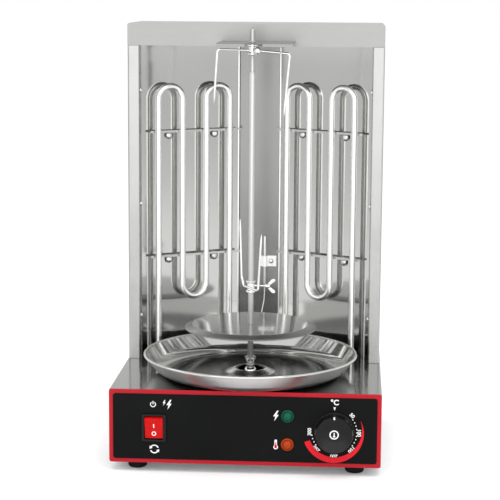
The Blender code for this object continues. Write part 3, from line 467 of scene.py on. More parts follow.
def detail(cad_node, bm, **settings):
    """Fine version of a CAD node, which stands for it."""
    slot = SLOT_OF[cad_node]
    look = LOOKS.get(cad_node, slot)
    obj = piece(f"{cad_node}_detail", bm, BODY_OF[cad_node], slot, look=look, **settings)
    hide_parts(cad_node)
    return obj


# ------------------------------ base
def feet():
    """Rubber feet: a rounded edge below, a small lip above and a hollow under the sole."""
    hollow_r, hollow_h, soft, inset, lip = 0.0040, 0.0030, 0.0035, 0.0008, 0.0004
    for row in ("front", "rear"):
        for side, _ in SIDES:
            name = f"foot_{row}_{side}"
            low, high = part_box(name)
            x, y, top_r = (low.x + high.x) / 2, (low.y + high.y) / 2, (high.x - low.x) / 2
            profile = [(0.0, hollow_h), (hollow_r, hollow_h), (hollow_r + 0.0003, 0.0)]
            profile += arc(top_r - inset - soft, soft, soft, -90.0, -8.0, 10)
            profile += [(top_r - lip / 2, high.z - 0.0010), (top_r, high.z - 0.0006), (top_r - lip, high.z),
                        (0.0, high.z)]
            detail(name, turned(profile, x, y))


def front_panel():
    """Red plate and black film, with holes for the knob, the lamps and the switch."""
    corner_r, knob_hole, lamp_hole, switch_hole = 0.0030, 0.0055, 0.0062, (0.0130, 0.0154)
    for name, bevel in (("front_plate", 0.0004), ("control_panel", 0.0001)):
        low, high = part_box(name)
        sheet = prism(rectangle(low.x, high.x, low.z, high.z, corner_r), low.y, high.y, to_xz)
        holes = [circle(KNOB.x, KNOB.z, knob_hole)]
        holes += [circle(lamp.x, lamp.z, lamp_hole) for lamp in LAMPS.values()]
        holes.append(around(SWITCH.x, SWITCH.z, *switch_hole))
        cutters = [prism(hole, low.y - CLEAR, high.y + CLEAR, to_xz) for hole in holes]
        detail(name, carved(sheet, *cutters), bevel=bevel)


def switch():
    """Rocker in its bezel: the pressed end lies deeper, and both ends follow arcs round the pivot."""
    low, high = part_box("switch_body")
    bezel = prism(rectangle(low.x, high.x, low.z, high.z, 0.0022), low.y, PANEL_Y - GAP, to_xz)
    well_x, well_z, well_depth, box_end = 0.01155, 0.01445, 0.0150, 0.0205
    well = around(SWITCH.x, SWITCH.z, well_x, well_z, 0.0008)
    walls = around(SWITCH.x, SWITCH.z, well_x + 0.0011, well_z + 0.0006)
    housing = prism(walls, low.y + 0.0005, PANEL_Y + box_end, to_xz)
    shells = [carved(solid, prism(well, low.y - CLEAR, low.y + well_depth, to_xz))
              for solid in (bezel, housing)]
    tabs = [prism(around(SWITCH.x + offset, SWITCH.z, 0.0004, 0.003), middle("switch_body").y, high.y, to_xz)
            for offset in (-0.006, 0.006)]
    detail("switch_body", merged(*shells, *tabs), bevel=0.0003)

    joint = next(j for j in frame["joints"] if j["name"] == "switch_rock")
    pivot = Vector(joint["pos_m"])
    lean = Matrix.Rotation(math.radians(11.0), 2)
    crest, dish, end, half_width, steps = -0.0061, 0.0012, 0.0127, 0.01115, 14

    def front_at(z):
        return crest + dish * (1 - (z / end) ** 2)

    heights = [end - 2 * end * i / steps for i in range(steps + 1)]
    corner = math.degrees(math.atan2(end, crest))
    lower_end = arc(0.0, 0.0, math.hypot(crest, end), 360.0 - corner, 288.0, 6)[1:]
    upper_end = [(y, -z) for y, z in lower_end[::-1]]
    back = [(0.0045, -0.0060), (0.0045, 0.0060)]
    placed = [lean @ Vector(p) for p in [(front_at(z), z) for z in heights] + lower_end + back + upper_end]
    outline = [(p.x + pivot.y, p.y + pivot.z) for p in placed]
    rocker = prism(outline, SWITCH.x - half_width, SWITCH.x + half_width, to_yz)
    detail("switch_rocker", rocker, bevel=0.0004)

    ink, sunk = 0.00008, 0.0002
    marks = [prism(around(0.0, 0.0036, 0.0006, 0.0026, 0.0003), 0.0, 1.0, to_xz),
             ring_shape(0.0, -0.0066, 0.0017, 0.0028)]
    for mark in marks:
        for vert in mark.verts:
            depth = -ink if vert.co.y > 0.5 else sunk
            local = lean @ Vector((front_at(vert.co.z) + depth, vert.co.z))
            vert.co = Vector((SWITCH.x + vert.co.x, local.x + pivot.y, local.y + pivot.z))
    piece("switch_marks", merged(*marks), "rocker", "red_plastic", look="white_print")


def ring_shape(x, z, inner, outer, start=0.0, end=360.0, near=0.0, far=1.0, steps=40):
    """Flat ring, or part of one, as a thin solid in a plane that faces the front."""
    bm = bmesh.new()
    rows = []
    for a, b in zip(arc(x, z, inner, start, end, steps), arc(x, z, outer, start, end, steps)):
        rows.append([bm.verts.new((p[0], y, p[1])) for p in (a, b) for y in (near, far)])
    whole = abs(end - start) >= 360.0
    if whole:
        for vert in rows.pop():
            bm.verts.remove(vert)
    pairs = list(zip(rows, rows[1:])) + ([(rows[-1], rows[0])] if whole else [])
    for one, two in pairs:
        for a, b in ((0, 1), (1, 3), (3, 2), (2, 0)):
            bm.faces.new((one[a], one[b], two[b], two[a]))
    if not whole:
        for row in (rows[0], rows[-1]):
            bm.faces.new((row[0], row[1], row[3], row[2]))
    return bm


def lamps():
    """Pilot lamp lenses: a stepped rim round a low dome."""
    face = PANEL_Y - GAP
    rim = ((0.0, 0.0), (0.0, 0.0012), (0.0004, 0.0020), (0.0011, 0.0023), (0.0017, 0.0019), (0.0021, 0.0012))
    dome_r, dome_h, dome_y, steps = LAMP_R - 0.0023, 0.0034, face - 0.0013, 14
    quarter = [math.radians(90.0 * i / steps) for i in range(steps)]
    profile = [(0.0, face)] + [(LAMP_R - inset, face - rise) for inset, rise in rim]
    profile += [(dome_r * math.cos(a), dome_y - dome_h * math.sin(a)) for a in quarter]
    profile.append((0.0, dome_y - dome_h))
    for name, lamp in LAMPS.items():
        detail(f"{name}_lamp_lens", turned(profile, lamp.x, lamp.z, along_y=True, steps=64))


def thermostat():
    """Dished black knob with a thin rim and a wider skirt, and the marks on its face."""
    low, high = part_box("thermostat_knob")
    front, face, skirt = low.y, high.y, (high.x - low.x) / 2
    disc, disc_r, dish_w, dish_h, dish_curve, steps = front + 0.0046, 0.0060, 0.0142, 0.0042, 1.6, 12
    bore, boss, bore_end = 0.0033, 0.0070, front + 0.0072
    profile = [(0.0, disc), (disc_r, disc)]
    profile += [(disc_r + dish_w * i / steps, disc - dish_h * (i / steps) ** dish_curve)
                for i in range(1, steps + 1)]
    profile += [(KNOB_FACE_R - 0.0010, front + 0.0001), (KNOB_FACE_R - 0.0004, front),
                (KNOB_FACE_R, front + 0.0003), (KNOB_FACE_R + 0.0003, front + 0.0010)]
    profile += [(0.0232, face - 0.0046), (0.0235, face - 0.0036), (skirt - 0.0005, face - 0.0030),
                (skirt, face - 0.0025), (skirt, face), (0.0220, face), (0.0212, front + 0.0070),
                (boss + 0.0005, front + 0.0080), (boss, face - 0.0004), (bore, face - 0.0004),
                (bore, bore_end), (0.0, bore_end)]
    detail("thermostat_knob", turned(profile, KNOB.x, KNOB.z, along_y=True, steps=128))

    near, far = disc - PRINT, disc + PRINT
    marks = [ring_shape(KNOB.x, KNOB.z, 0.0042, 0.0056, near=near, far=far),
             prism(round_outline(KNOB.x, KNOB.z - 0.0008, 0.0006, 0.0030), near, far, to_xz),
             prism(circle(KNOB.x, KNOB.z - 0.0018, 0.0014, 24), near, far, to_xz)]
    pointer = round_outline(KNOB.x, KNOB.z + 0.0206, 0.0010, 0.0014)
    marks.append(prism(pointer, front - 0.00002, front + 0.0010, to_xz))
    piece("knob_marks", merged(*marks), "knob", "black_plastic", look="white_print")


def round_outline(x, z, half_width, height):
    """Upright slot shape whose foot is at z."""
    return arc(x, z + height, half_width, 0.0, 180.0, 10) + arc(x, z, half_width, 180.0, 360.0, 10)


def flat(outline):
    """Printing of one outline on the panel."""
    return prism(outline, PANEL_Y - PRINT, PANEL_Y + PRINT, to_xz)


def bolt_outline(x, z, height):
    """Lightning bolt centred on a point."""
    shape = [(0.10, 0.50), (-0.26, -0.05), (-0.04, -0.05), (-0.16, -0.50), (0.26, 0.10), (0.05, 0.10),
             (0.24, 0.50)]
    return [(x + a * height, z + b * height) for a, b in shape]


def on_dial(radius, degrees):
    """Point on a circle round the knob."""
    angle = math.radians(degrees)
    return (KNOB.x + radius * math.cos(angle), KNOB.z + radius * math.sin(angle))


def dial_printing():
    """Figures, dots, zero mark and unit round the knob."""
    figures_r, figure_size, first, step = 0.0297, 0.0062, 45.0, 45.0
    dots_r, dot_r, mark_z, mark_half, unit_size, unit_z = 0.0272, 0.0008, 0.0290, 0.0016, 0.0090, 0.0366
    printed = []
    for i, text in enumerate(("50", "100", "150", "200", "250", "300")):
        degrees = first - step * i
        printed.append(lettering(text, figure_size, *on_dial(figures_r, degrees),
                                 math.pi / 2 - math.radians(degrees)))
    for start, end, count in ((36.0, -36.0, 9), (-144.0, -171.0, 4)):
        for i in range(count):
            dot = on_dial(dots_r, start + (end - start) * i / (count - 1))
            printed.append(flat(circle(*dot, dot_r, 16)))
    top = KNOB.z + mark_z
    printed.append(flat([(KNOB.x, top - 0.0022), (KNOB.x + mark_half, top + 0.0020),
                         (KNOB.x - mark_half, top + 0.0020)]))
    printed.append(lettering("°C", unit_size, KNOB.x, KNOB.z + unit_z))
    return printed


def switch_symbols():
    """Power sign and bolts above the switch, turning arrows below it."""
    on_panel = {"near": PANEL_Y - PRINT, "far": PANEL_Y + PRINT}
    label_z, sign_x = SWITCH.z + 0.0290, SWITCH.x - 0.0010
    printed = [flat(bolt_outline(SWITCH.x + 0.0185, label_z, 0.0120)),
               flat(bolt_outline(SWITCH.x + 0.0125, label_z + 0.0022, 0.0070)),
               ring_shape(sign_x, label_z, 0.0026, 0.0035, 125.0, 415.0, **on_panel),
               flat(round_outline(sign_x, label_z + 0.0006, 0.0005, 0.0032))]
    turn_x, turn_z, sweep, middle_r = SWITCH.x + 0.0005, SWITCH.z - 0.0268, 125.0, 0.0048
    head_half, head_long = 0.0021, 0.0033
    for start in (20.0, 200.0):
        printed.append(ring_shape(turn_x, turn_z, 0.0041, 0.0055, start, start + sweep, **on_panel))
        tip = math.radians(start + sweep)
        out, along = Vector((math.cos(tip), math.sin(tip))), Vector((-math.sin(tip), math.cos(tip)))
        base = Vector((turn_x, turn_z)) + out * middle_r
        printed.append(flat([base + out * head_half, base + along * head_long, base - out * head_half]))
    return printed


def printing():
    """Dial figures and plain symbols on the control panel."""
    power, heat = LAMPS["power"], LAMPS["heat"]
    symbol_x = 0.0140                   # how far left of its lamp a symbol stands
    power_bolt = flat(bolt_outline(power.x - symbol_x, power.z, 0.0128))
    white = merged(*dial_printing(), power_bolt, *switch_symbols())
    piece("panel_symbols", white, "chassis", "black_panel", look="white_print")

    outer, inner, steps, start, end = [], [], 60, 25.0, -160.0
    for i in range(steps + 1):
        t = i / steps
        degrees = start + (end - start) * t
        outer.append(on_dial(0.0348 + 0.0034 * min(1.0, t * 1.6), degrees))
        inner.append(on_dial(0.0347 - 0.0037 * math.sin(min(1.0, t * 1.8) * math.pi / 2), degrees))
    piece("dial_heat_band", flat(outer + inner[::-1]), "chassis", "black_panel", look="red_print")

    x, z = heat.x - symbol_x, heat.z - 0.0010
    stem = flat(round_outline(x, z - 0.0020, 0.0015, 0.0072))
    bulb = flat(circle(x, z - 0.0026, 0.0028, 32))
    piece("heat_symbol", merged(stem, bulb), "chassis", "black_panel", look="white_print")
    near, far = PANEL_Y - 2 * PRINT, PANEL_Y
    mercury = prism(round_outline(x, z - 0.0020, 0.0006, 0.0050), near, far, to_xz)
    drop = prism(circle(x, z - 0.0026, 0.0017, 24), near, far, to_xz)
    piece("heat_symbol_core", merged(mercury, drop), "chassis", "black_panel", look="red_print")


# ------------------------------ spit and drive
def drive_hub():
    """Crown that drives the spit: a notched cup on a waist, over a domed flange."""
    low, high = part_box("drive_hub")
    top, foot, reach = high.z, low.z, (high.x - low.x) / 2
    profile = [(0.0, 0.1115), (0.0039, 0.1115), (0.0039, top - 0.0004), (0.0042, top), (0.0066, top),
               (0.0071, top - 0.0005), (0.0069, top - 0.0012), (0.0057, 0.1186), (0.0053, 0.1165),
               (0.0053, 0.1145), (0.0058, 0.1114), (0.0056, 0.1108), (0.0047, 0.1103), (0.0046, 0.1092)]
    profile += arc(0.0030, foot + 0.0014, reach - 0.0030, 80.0, 0.0, 12)
    profile += [(reach, foot), (0.0033, foot), (0.0033, 0.1095), (0.0, 0.1095)]
    hub = turned(profile, 0.0, AXIS_Y, steps=64)
    slot, notch_floor = 0.0014, 0.1188
    notches = [prism(outline, notch_floor, top + CLEAR) for outline in crossed(0.0, AXIS_Y, 0.010, slot)]
    detail("drive_hub", carved(hub, *notches), bevel=0.0002)


def spit():
    """Bar with its softened foot and its thinner neck, and the cross pin."""
    low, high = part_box("spit_bar")
    profile = [(0.0, low.z), (BAR_R - 0.0010, low.z), (BAR_R - 0.0003, low.z + 0.0004),
               (BAR_R, low.z + 0.0012), (BAR_R, NECK_START - 0.0006), (BAR_R - 0.0003, NECK_START),
               (NECK_R + 0.0002, NECK_START + 0.0003), (NECK_R, NECK_START + 0.0008),
               (NECK_R, high.z - 0.0010), (NECK_R - 0.0005, high.z - 0.0002),
               (NECK_R - 0.0010, high.z), (0.0, high.z)]
    detail("spit_bar", turned(profile, 0.0, AXIS_Y, steps=48))

    pin_z = middle("drive_pin").z
    low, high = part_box("drive_pin")
    detail("drive_pin", rod((low.x, AXIS_Y, pin_z), (high.x, AXIS_Y, pin_z), 0.0010))


def meat_plate():
    """Flat plate with a sloping rim and a rolled lip, and the collar that holds it; the rim gets a darker copy of
    the plate's steel as painted shade.
    """
    low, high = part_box("meat_plate")
    reach, top, hole = (high.x - low.x) / 2, high.z, BAR_R + GAP
    rim, bottom = low.z + PLATE_SHEET, top - PLATE_SHEET
    upper = [(hole, top), (PLATE_FLAT_R - 0.0016, top), (PLATE_FLAT_R - 0.0004, top - 0.00015),
             (PLATE_FLAT_R + 0.0008, top - 0.0006), (reach - 0.0018, rim + 0.0008),
             (reach - 0.0008, rim + 0.0003)]
    lip = [(reach, rim - 0.0004), (reach, low.z + 0.0004), (reach - 0.0006, low.z),
           (reach - 0.0013, low.z + 0.0003)]
    under = [(PLATE_FLAT_R, bottom - 0.0004), (PLATE_FLAT_R - 0.0020, bottom), (hole, bottom)]
    plate = detail("meat_plate", turned(upper + lip + under, 0.0, AXIS_Y, ring=True, steps=192))
    # painted shade: the sloping rim gets a darker copy of the plate's steel to tone down its reflection
    plate.data.materials.append(MATERIALS["plate_rim_painted_shade"])
    for face in plate.data.polygons:
        if math.hypot(face.center.x, face.center.y - AXIS_Y) > PLATE_FLAT_R:
            face.material_index = 1

    low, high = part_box("plate_collar")
    reach = (high.x - low.x) / 2
    profile = [(hole, high.z), (reach - 0.0004, high.z), (reach, high.z - 0.0004), (reach, low.z + 0.0014)]
    profile += [(reach - 0.0006, low.z + 0.0004), (reach - 0.0014, low.z), (hole, low.z)]
    middle_z = (low.z + high.z) / 2
    screw_hole = swept([(0.0, AXIS_Y - 0.02, middle_z), (0.0, AXIS_Y - 0.001, middle_z)], 0.0020, 24)
    detail("plate_collar", carved(turned(profile, 0.0, AXIS_Y, ring=True, steps=48), screw_hole))


def top_pin():
    """Pin that stands on the bracket by its collar, with a long rounded nose."""
    low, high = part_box("top_pin")
    collar_z, stem, shaft, nose_h, nose_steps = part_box("top_bracket")[1].z + GAP, 0.0029, 0.0032, 0.0050, 9
    profile = [(0.0, low.z), (stem - 0.0006, low.z), (stem, low.z + 0.0004), (stem, collar_z),
               (0.0040, collar_z), (0.0041, collar_z + 0.0003), (0.0041, collar_z + 0.0011),
               (0.0038, collar_z + 0.0016), (0.0033, collar_z + 0.0019), (shaft, high.z - 0.0060)]
    for i in range(1, nose_steps):
        angle = math.radians(90.0 * i / nose_steps)
        profile.append((shaft * math.cos(angle) ** 0.8, high.z - nose_h + nose_h * math.sin(angle)))
    profile.append((0.0, high.z))
    detail("top_pin", turned(profile, 0.0, AXIS_Y, steps=40))


def spool(cad_node, screw_direction, screw_z):
    """Fork collar: two flanges with a waist between them, and a screw hole."""
    low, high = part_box(cad_node)
    flange, waist, bore, edge, soft = (high.x - low.x) / 2, 0.0047, BAR_R + GAP, 0.0026, 0.0004
    half = [(bore, 0.0), (flange - soft, 0.0), (flange, soft), (flange, edge - 0.0010),
            (flange - 0.0003, edge - 0.0005), (waist + 0.0003, edge), (waist, edge + 0.0004)]
    profile = [(r, low.z + h) for r, h in half] + [(r, high.z - h) for r, h in half[::-1]]
    start = Vector((0.0, AXIS_Y, screw_z))
    hole = swept([start + screw_direction * 0.002, start + screw_direction * 0.012], 0.0018, 24)
    detail(cad_node, carved(turned(profile, 0.0, AXIS_Y, ring=True, steps=64), hole))


def prongs(cad_node, points, bend):
    """Pointed wire fork; points are offsets from the spit axis, with true heights."""
    corners = [Vector((x, AXIS_Y + y, z)) for x, y, z in points]
    path = round_corners(corners, bend, 10)
    tip = 0.012                         # length of the pointed end
    first, last = (path[1] - path[0]).normalized(), (path[-2] - path[-1]).normalized()
    starts = [path[0] + first * tip * t for t in (0.0, 0.04, 0.35, 1.0)]
    ends = [path[-1] + last * tip * t for t in (1.0, 0.35, 0.04, 0.0)]
    taper = [0.00008, 0.0003, 0.0009, WIRE_R]
    path = starts + path[1:-1] + ends
    radii = taper + [WIRE_R] * (len(path) - 8) + taper[::-1]
    detail(cad_node, swept(path, radii, 16))


def forks():
    """Two forks with their screws: a ball on the upper one, wings on the lower one."""
    direction = Vector((0.56, -0.83, 0.0)).normalized()
    ball_low, ball_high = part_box("upper_fork_screw")
    height = (ball_low.z + ball_high.z) / 2
    spool("upper_fork_collar", direction, height)
    behind = 0.0066                     # the wire passes behind the bar
    prongs("upper_fork_prongs", [(-0.0479, behind, 0.4420), (-0.0438, behind, 0.5083),
                                 (0.0, behind, 0.5078), (0.0460, behind, 0.5038),
                                 (0.0389, behind, 0.4266)], 0.0040)
    on_axis = Vector((0.0, AXIS_Y, height))
    centre = on_axis + direction * 0.0118
    shank = rod(on_axis + direction * (BAR_R + 2 * GAP), centre, WIRE_R, 20)
    ball = bmesh.new()
    bmesh.ops.create_uvsphere(ball, u_segments=40, v_segments=24, radius=(ball_high.z - ball_low.z) / 2,
                              matrix=Matrix.Translation(centre))
    detail("upper_fork_screw", merged(shank, ball), smooth=50.0)

    wing_low, wing_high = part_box("lower_fork_screw")
    height = (wing_low.z + wing_high.z) / 2
    spool("lower_fork_collar", Vector((1.0, 0.0, 0.0)), height)
    prongs("lower_fork_prongs", [(-0.0143, 0.0030, 0.2980), (-0.0118, 0.0015, 0.2255),
                                 (-0.0089, -0.0012, 0.2140), (0.0098, -0.0160, 0.2105),
                                 (0.0138, -0.0170, 0.2820)], 0.0022)
    shank = rod((wing_low.x, AXIS_Y, height), (0.0190, AXIS_Y, height), WIRE_R, 20)
    hub = rod((0.0180, AXIS_Y, height), (0.0238, AXIS_Y, height), 0.0030, 32)
    wing = ((0.0195, 0.0010), (0.0265, 0.0088), (0.0300, 0.0092), (0.0308, 0.0066), (0.0235, 0.0006))
    wings, wing_half = [], 0.0009
    for side in (-1, 1):
        outline = round_corners([(x, height + side * z) for x, z in wing], 0.0006, 4, True)
        wings.append(prism(outline, AXIS_Y - wing_half, AXIS_Y + wing_half, to_xz))
    detail("lower_fork_screw", merged(shank, hub, *wings), bevel=0.0003)


def drip_tray():
    """Round tray with a raised middle lip, a curved wall and a rolled rim; the floor gets a near-black copy of its
    steel as painted shade, and the outer wall a satin copy whose lighter colour is painted light.
    """
    low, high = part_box("drip_tray")
    floor, reach, rim_z = low.z, (high.x - low.x) / 2, high.z
    wall, foot, bead, end = 0.0300, 0.1010, 0.0016, 46.0
    inside = [(0.0166, floor + 0.0043), (0.0170, floor + 0.0050), (0.0190, floor + 0.0056),
              (0.0206, floor + 0.0054), (0.0222, floor + 0.0046), (0.0290, floor + 0.0017),
              (0.0310, floor + 0.0010), (0.0340, floor + THIN)]
    inside += arc(foot, floor + wall, wall - THIN, -90.0, -90.0 + end, 14)
    roll_r, roll_z = reach - bead, rim_z - bead
    roll = arc(roll_r, roll_z, bead, 200.0, -90.0, 18)
    outside = arc(foot, floor + wall, wall, -90.0 + end, -90.0, 14)
    outside += [(0.0342, floor), (0.0306, floor + 0.0002), (0.0290, floor + 0.0008), (0.0218, floor + 0.0038)]
    outside += [(0.0190, floor + 0.0047), (0.0172, floor + 0.0040)]
    tray = detail("drip_tray", turned(inside + roll + outside, 0.0, AXIS_Y, ring=True, steps=240))
    # painted light and shade: lighter satin steel on the outer wall, near-black steel on the floor
    for look in ("tray_outside_painted_light", "tray_floor_painted_shade"):
        tray.data.materials.append(MATERIALS[look])
    for face in tray.data.polygons:
        outwards = Vector((face.center.x, face.center.y - AXIS_Y, 0.0))
        if face.center.z < roll_z and face.normal.dot(outwards.normalized()) > 0.1:
            face.material_index = 1
        elif outwards.length < foot and face.normal.z > 0.0:
            face.material_index = 2


# ------------------------------ cabinet
def reflectors():
    """Side panels whose folds have a small bend radius; the front-facing strip along each inner fold is painted
    near white as a highlight.
    """
    for name, side in SIDES:
        low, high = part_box(f"reflector_{name}")
        start_x = max(abs(low.x), abs(high.x)) - THIN / 2
        fold_x = min(abs(low.x), abs(high.x)) + THIN / 2
        wing_y, slope = low.y + WING_BACK, math.tan(SLANT)
        fold_y = wing_y + THIN / 2 + (start_x - fold_x) * slope
        land = 0.0016                   # front-facing strip along the fold
        line = [(side * start_x, low.y), (side * start_x, wing_y + THIN / 2),
                (side * (fold_x + land), fold_y - land * slope), (side * fold_x, fold_y - land * slope),
                (side * fold_x, high.y)]
        outline = sheet_outline(round_corners(line, 0.0005, 6), THIN)
        panel = detail(f"reflector_{name}", prism(outline, low.z, high.z))
        # painted highlight: the front-facing strip along the fold gets a near-white copy of the steel
        panel.data.materials.append(MATERIALS["painted_fold_highlight"])
        for face in panel.data.polygons:
            if abs(face.center.x) < fold_x + land and face.normal.y < -0.9:
                face.material_index = 1


def leg_line(side):
    """Places of a heater's outer and inner leg, from its box."""
    low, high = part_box(f"heater_{side}")
    radius = TUBE_R * math.cos(math.radians(180.0 / TUBE_SIDES))
    outer_x, inner_x = low.x + radius, high.x - radius
    if side == "right":
        outer_x, inner_x = inner_x, outer_x
    outer, inner = Vector((outer_x, low.y + radius, 0.0)), Vector((inner_x, high.y - radius, 0.0))
    return outer, inner, low.z, high.z


def heaters():
    """Tubes bent into four legs, with a thin stud at each end."""
    steps, stud, stud_end = 24, 0.0014, 0.0119
    for side, _ in SIDES:
        outer, inner, foot, arch = leg_line(side)
        legs = [outer.lerp(inner, i / 3) for i in range(4)]
        bend = (legs[1] - legs[0]).length / 2
        levels = (arch - TUBE_R - bend, BEND_BOTTOM + TUBE_R + bend)
        studs = [foot, foot + stud_end, foot + stud_end + 0.0002]
        path = [legs[0] + Vector((0.0, 0.0, z)) for z in studs]
        for i in range(3):
            centre, towards = (legs[i] + legs[i + 1]) / 2, (legs[i + 1] - legs[i]).normalized()
            level, up = (levels[0], 1) if i % 2 == 0 else (levels[1], -1)
            for step in range(steps + 1):
                angle = math.pi * step / steps
                rise = Vector((0.0, 0.0, level + up * bend * math.sin(angle)))
                path.append(centre + rise - towards * bend * math.cos(angle))
        path += [legs[3] + Vector((0.0, 0.0, z)) for z in studs[::-1]]
        radii = [stud, stud] + [TUBE_R] * (len(path) - 4) + [stud, stud]
        detail(f"heater_{side}", swept(path, radii, 28), smooth=50.0)


def domed_screw(name, place, facing, head_r, height):
    """Pan head with a cross recess, seated at a place and turned to face a direction, over a thin dark disc that
    is painted shadow round the head.
    """
    root, edge, shadow_disc_r, shadow_disc_h = -0.0004, 0.2, head_r + 0.0010, 0.0001
    profile = [(0.0, root), (head_r, root), (head_r, height * edge)]
    profile += [(head_r * math.cos(math.radians(a)), height * (edge + (1 - edge) * math.sin(math.radians(a))))
                for a in range(15, 90, 15)] + [(0.0, height)]
    recess = crossed(0.0, 0.0, head_r * 0.52, head_r * 0.11)
    bm = carved(turned(profile, steps=32), *[prism(slot, height * 0.45, height * 2) for slot in recess])
    turn = Vector((0.0, 0.0, 1.0)).rotation_difference(facing).to_matrix().to_4x4()
    seat = Matrix.Translation(place) @ turn
    bmesh.ops.transform(bm, matrix=seat, verts=bm.verts)
    piece(name, bm, "chassis", "chromed_steel", look="screw_head")
    # dark disc a little wider than the head: painted shadow round the screw, not a real washer
    shadow_disc = turned([(0.0, root), (shadow_disc_r, root), (shadow_disc_r, shadow_disc_h), (0.0, shadow_disc_h)], steps=32)
    bmesh.ops.transform(shadow_disc, matrix=seat, verts=shadow_disc.verts)
    piece(f"{name}_washer", shadow_disc, "chassis", "chromed_steel", look="painted_screw_shadow")


def screws():
    """Three screws on the inner face of each post, and two on each heater strip."""
    wrap_low, wrap_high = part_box("cabinet_wrap")
    post_x, post_y, strip_rise, strip_gap = wrap_high.x - POST_W - SHEET, wrap_low.y + 0.0105, 0.0048, 0.0009
    for side, sign in SIDES:
        for row, z in (("upper", 0.4535), ("middle", 0.3068), ("lower", 0.1592)):
            place = Vector((sign * post_x, post_y, z))
            domed_screw(f"post_screw_{row}_{side}", place, Vector((-sign, 0.0, 0.0)), 0.0030, 0.0022)
        out = Vector((-sign * math.sin(SLANT), -math.cos(SLANT), 0.0))
        wing_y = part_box(f"reflector_{side}")[0].y + WING_BACK
        for level in ("lower", "upper"):
            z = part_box(f"heater_strip_{level}_{side}")[0].z + strip_rise
            for label, x in (("outer", 0.1158), ("inner", 0.0589)):
                wing = Vector((sign * x, wing_y + (WING_X - x) * math.tan(SLANT), z))
                place = wing + out * (GAP + strip_gap)
                domed_screw(f"strip_screw_{level}_{label}_{side}", place, out, 0.0042, 0.0026)


def top_bracket():
    """Folded sheet with a front lip, a notch in the lip and a hole for the top pin."""
    low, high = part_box("top_bracket")
    under, half, lip = high.z - SHEET, SHEET / 2, 0.0036
    line = [(low.y + half, under - lip), (low.y + half, under + half), (high.y - half, under + half),
            (high.y - half, low.z)]
    plate = prism(sheet_outline(round_corners(line, 0.0008, 5), SHEET), low.x, high.x, to_yz)
    notch = prism(rectangle(-0.0090, 0.0130, low.y - 0.002, low.y + 0.002), under - CLEAR, under)
    hole = prism(circle(0.0, AXIS_Y, BRACKET_HOLE_R), under - CLEAR, high.z + CLEAR)
    detail("top_bracket", carved(plate, notch, hole), bevel=0.0002)


def bulb_and_fittings():
    """Thermostat bulb with a round end and a drawn-in foot, and its clip's screw."""
    low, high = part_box("thermostat_bulb")
    x, y, r = (low.x + high.x) / 2, (low.y + high.y) / 2, (high.x - low.x) / 2
    quarter = [math.radians(a) for a in range(15, 91, 15)]
    profile = [(0.0, high.z)] + [(r * math.sin(a), high.z - r * (1 - math.cos(a))) for a in quarter]
    profile += [(r, 0.1885), (r * 0.8, 0.1870), (0.0011, 0.1858), (0.0011, low.z), (0.0, low.z)]
    detail("thermostat_bulb", turned(profile, x, y, steps=40))

    low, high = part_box("bulb_clip_screw")
    x, z, r = (low.x + high.x) / 2, (low.z + high.z) / 2, (high.x - low.x) / 2
    dome, shank = 0.0020, 0.0015
    head = low.y + dome
    profile = [(0.0, low.y)] + [(r * math.sin(a), head - dome * math.cos(a)) for a in quarter]
    profile += [(shank, head), (shank, high.y), (0.0, high.y)]
    cross = [prism(slot, low.y - CLEAR, low.y + 0.0010, to_xz) for slot in crossed(x, z, r * 0.52, r * 0.12)]
    detail("bulb_clip_screw", carved(turned(profile, x, z, along_y=True, steps=40), *cross))


def cable_gland():
    """Hollow gland with a six-sided nut, a tapered mouth and a groove for the sheet."""
    low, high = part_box("cable_gland")
    x, z, reach = (low.x + high.x) / 2, (low.z + high.z) / 2, (high.x - low.x) / 2
    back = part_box("base_shell")[1].y
    profile = [(0.0045, high.y), (0.0058, high.y), (0.0062, high.y - 0.0004)]
    profile += [(0.0066 + 0.0012 * i / 4, high.y - 0.0012 - 0.0052 * i / 4) for i in range(5)]
    profile += [(reach - 0.0006, back + 0.0060), (reach, back + 0.0054), (reach, back + GAP),
                (0.0080, back + GAP), (0.0080, back - SHEET - GAP), (0.0100, back - SHEET - GAP),
                (0.0100, low.y), (0.0045, low.y)]
    body = turned(profile, x, z, along_y=True, ring=True, steps=64)
    flats = []
    for i in range(6):
        angle = math.radians(60.0 * i)
        out, along = Vector((math.cos(angle), math.sin(angle))), Vector((-math.sin(angle), math.cos(angle)))
        near, far = Vector((x, z)) + out * reach * 0.93, Vector((x, z)) + out * reach * 1.2
        wide = along * 0.01
        outline = [near - wide, near + wide, far + wide, far - wide]
        flats.append(prism(outline, back + GAP / 2, back + 0.0072, to_xz))
    detail("cable_gland", carved(body, *flats))


feet()
front_panel()
switch()
lamps()
thermostat()
printing()
drive_hub()
spit()
meat_plate()
top_pin()
forks()
drip_tray()
reflectors()
heaters()
screws()
top_bracket()
bulb_and_fittings()
cable_gland()


# ------------------------------ light, floor and camera
def area_light(name, place, target, size, radiance, mirrored, lighting=True):
    """Soft box; MIRRORED says if metal reflects it, LIGHTING if it lights dull surfaces."""
    data = bpy.data.lights.new(name, "AREA")
    data.shape = "RECTANGLE"
    data.size, data.size_y = size
    data.energy = radiance * math.pi * size[0] * size[1]
    light = shown(name, data)
    light.location = place
    light.rotation_euler = (Vector(target) - Vector(place)).to_track_quat("-Z", "Y").to_euler()
    light.visible_camera = False
    light.visible_glossy = mirrored
    light.visible_diffuse = lighting


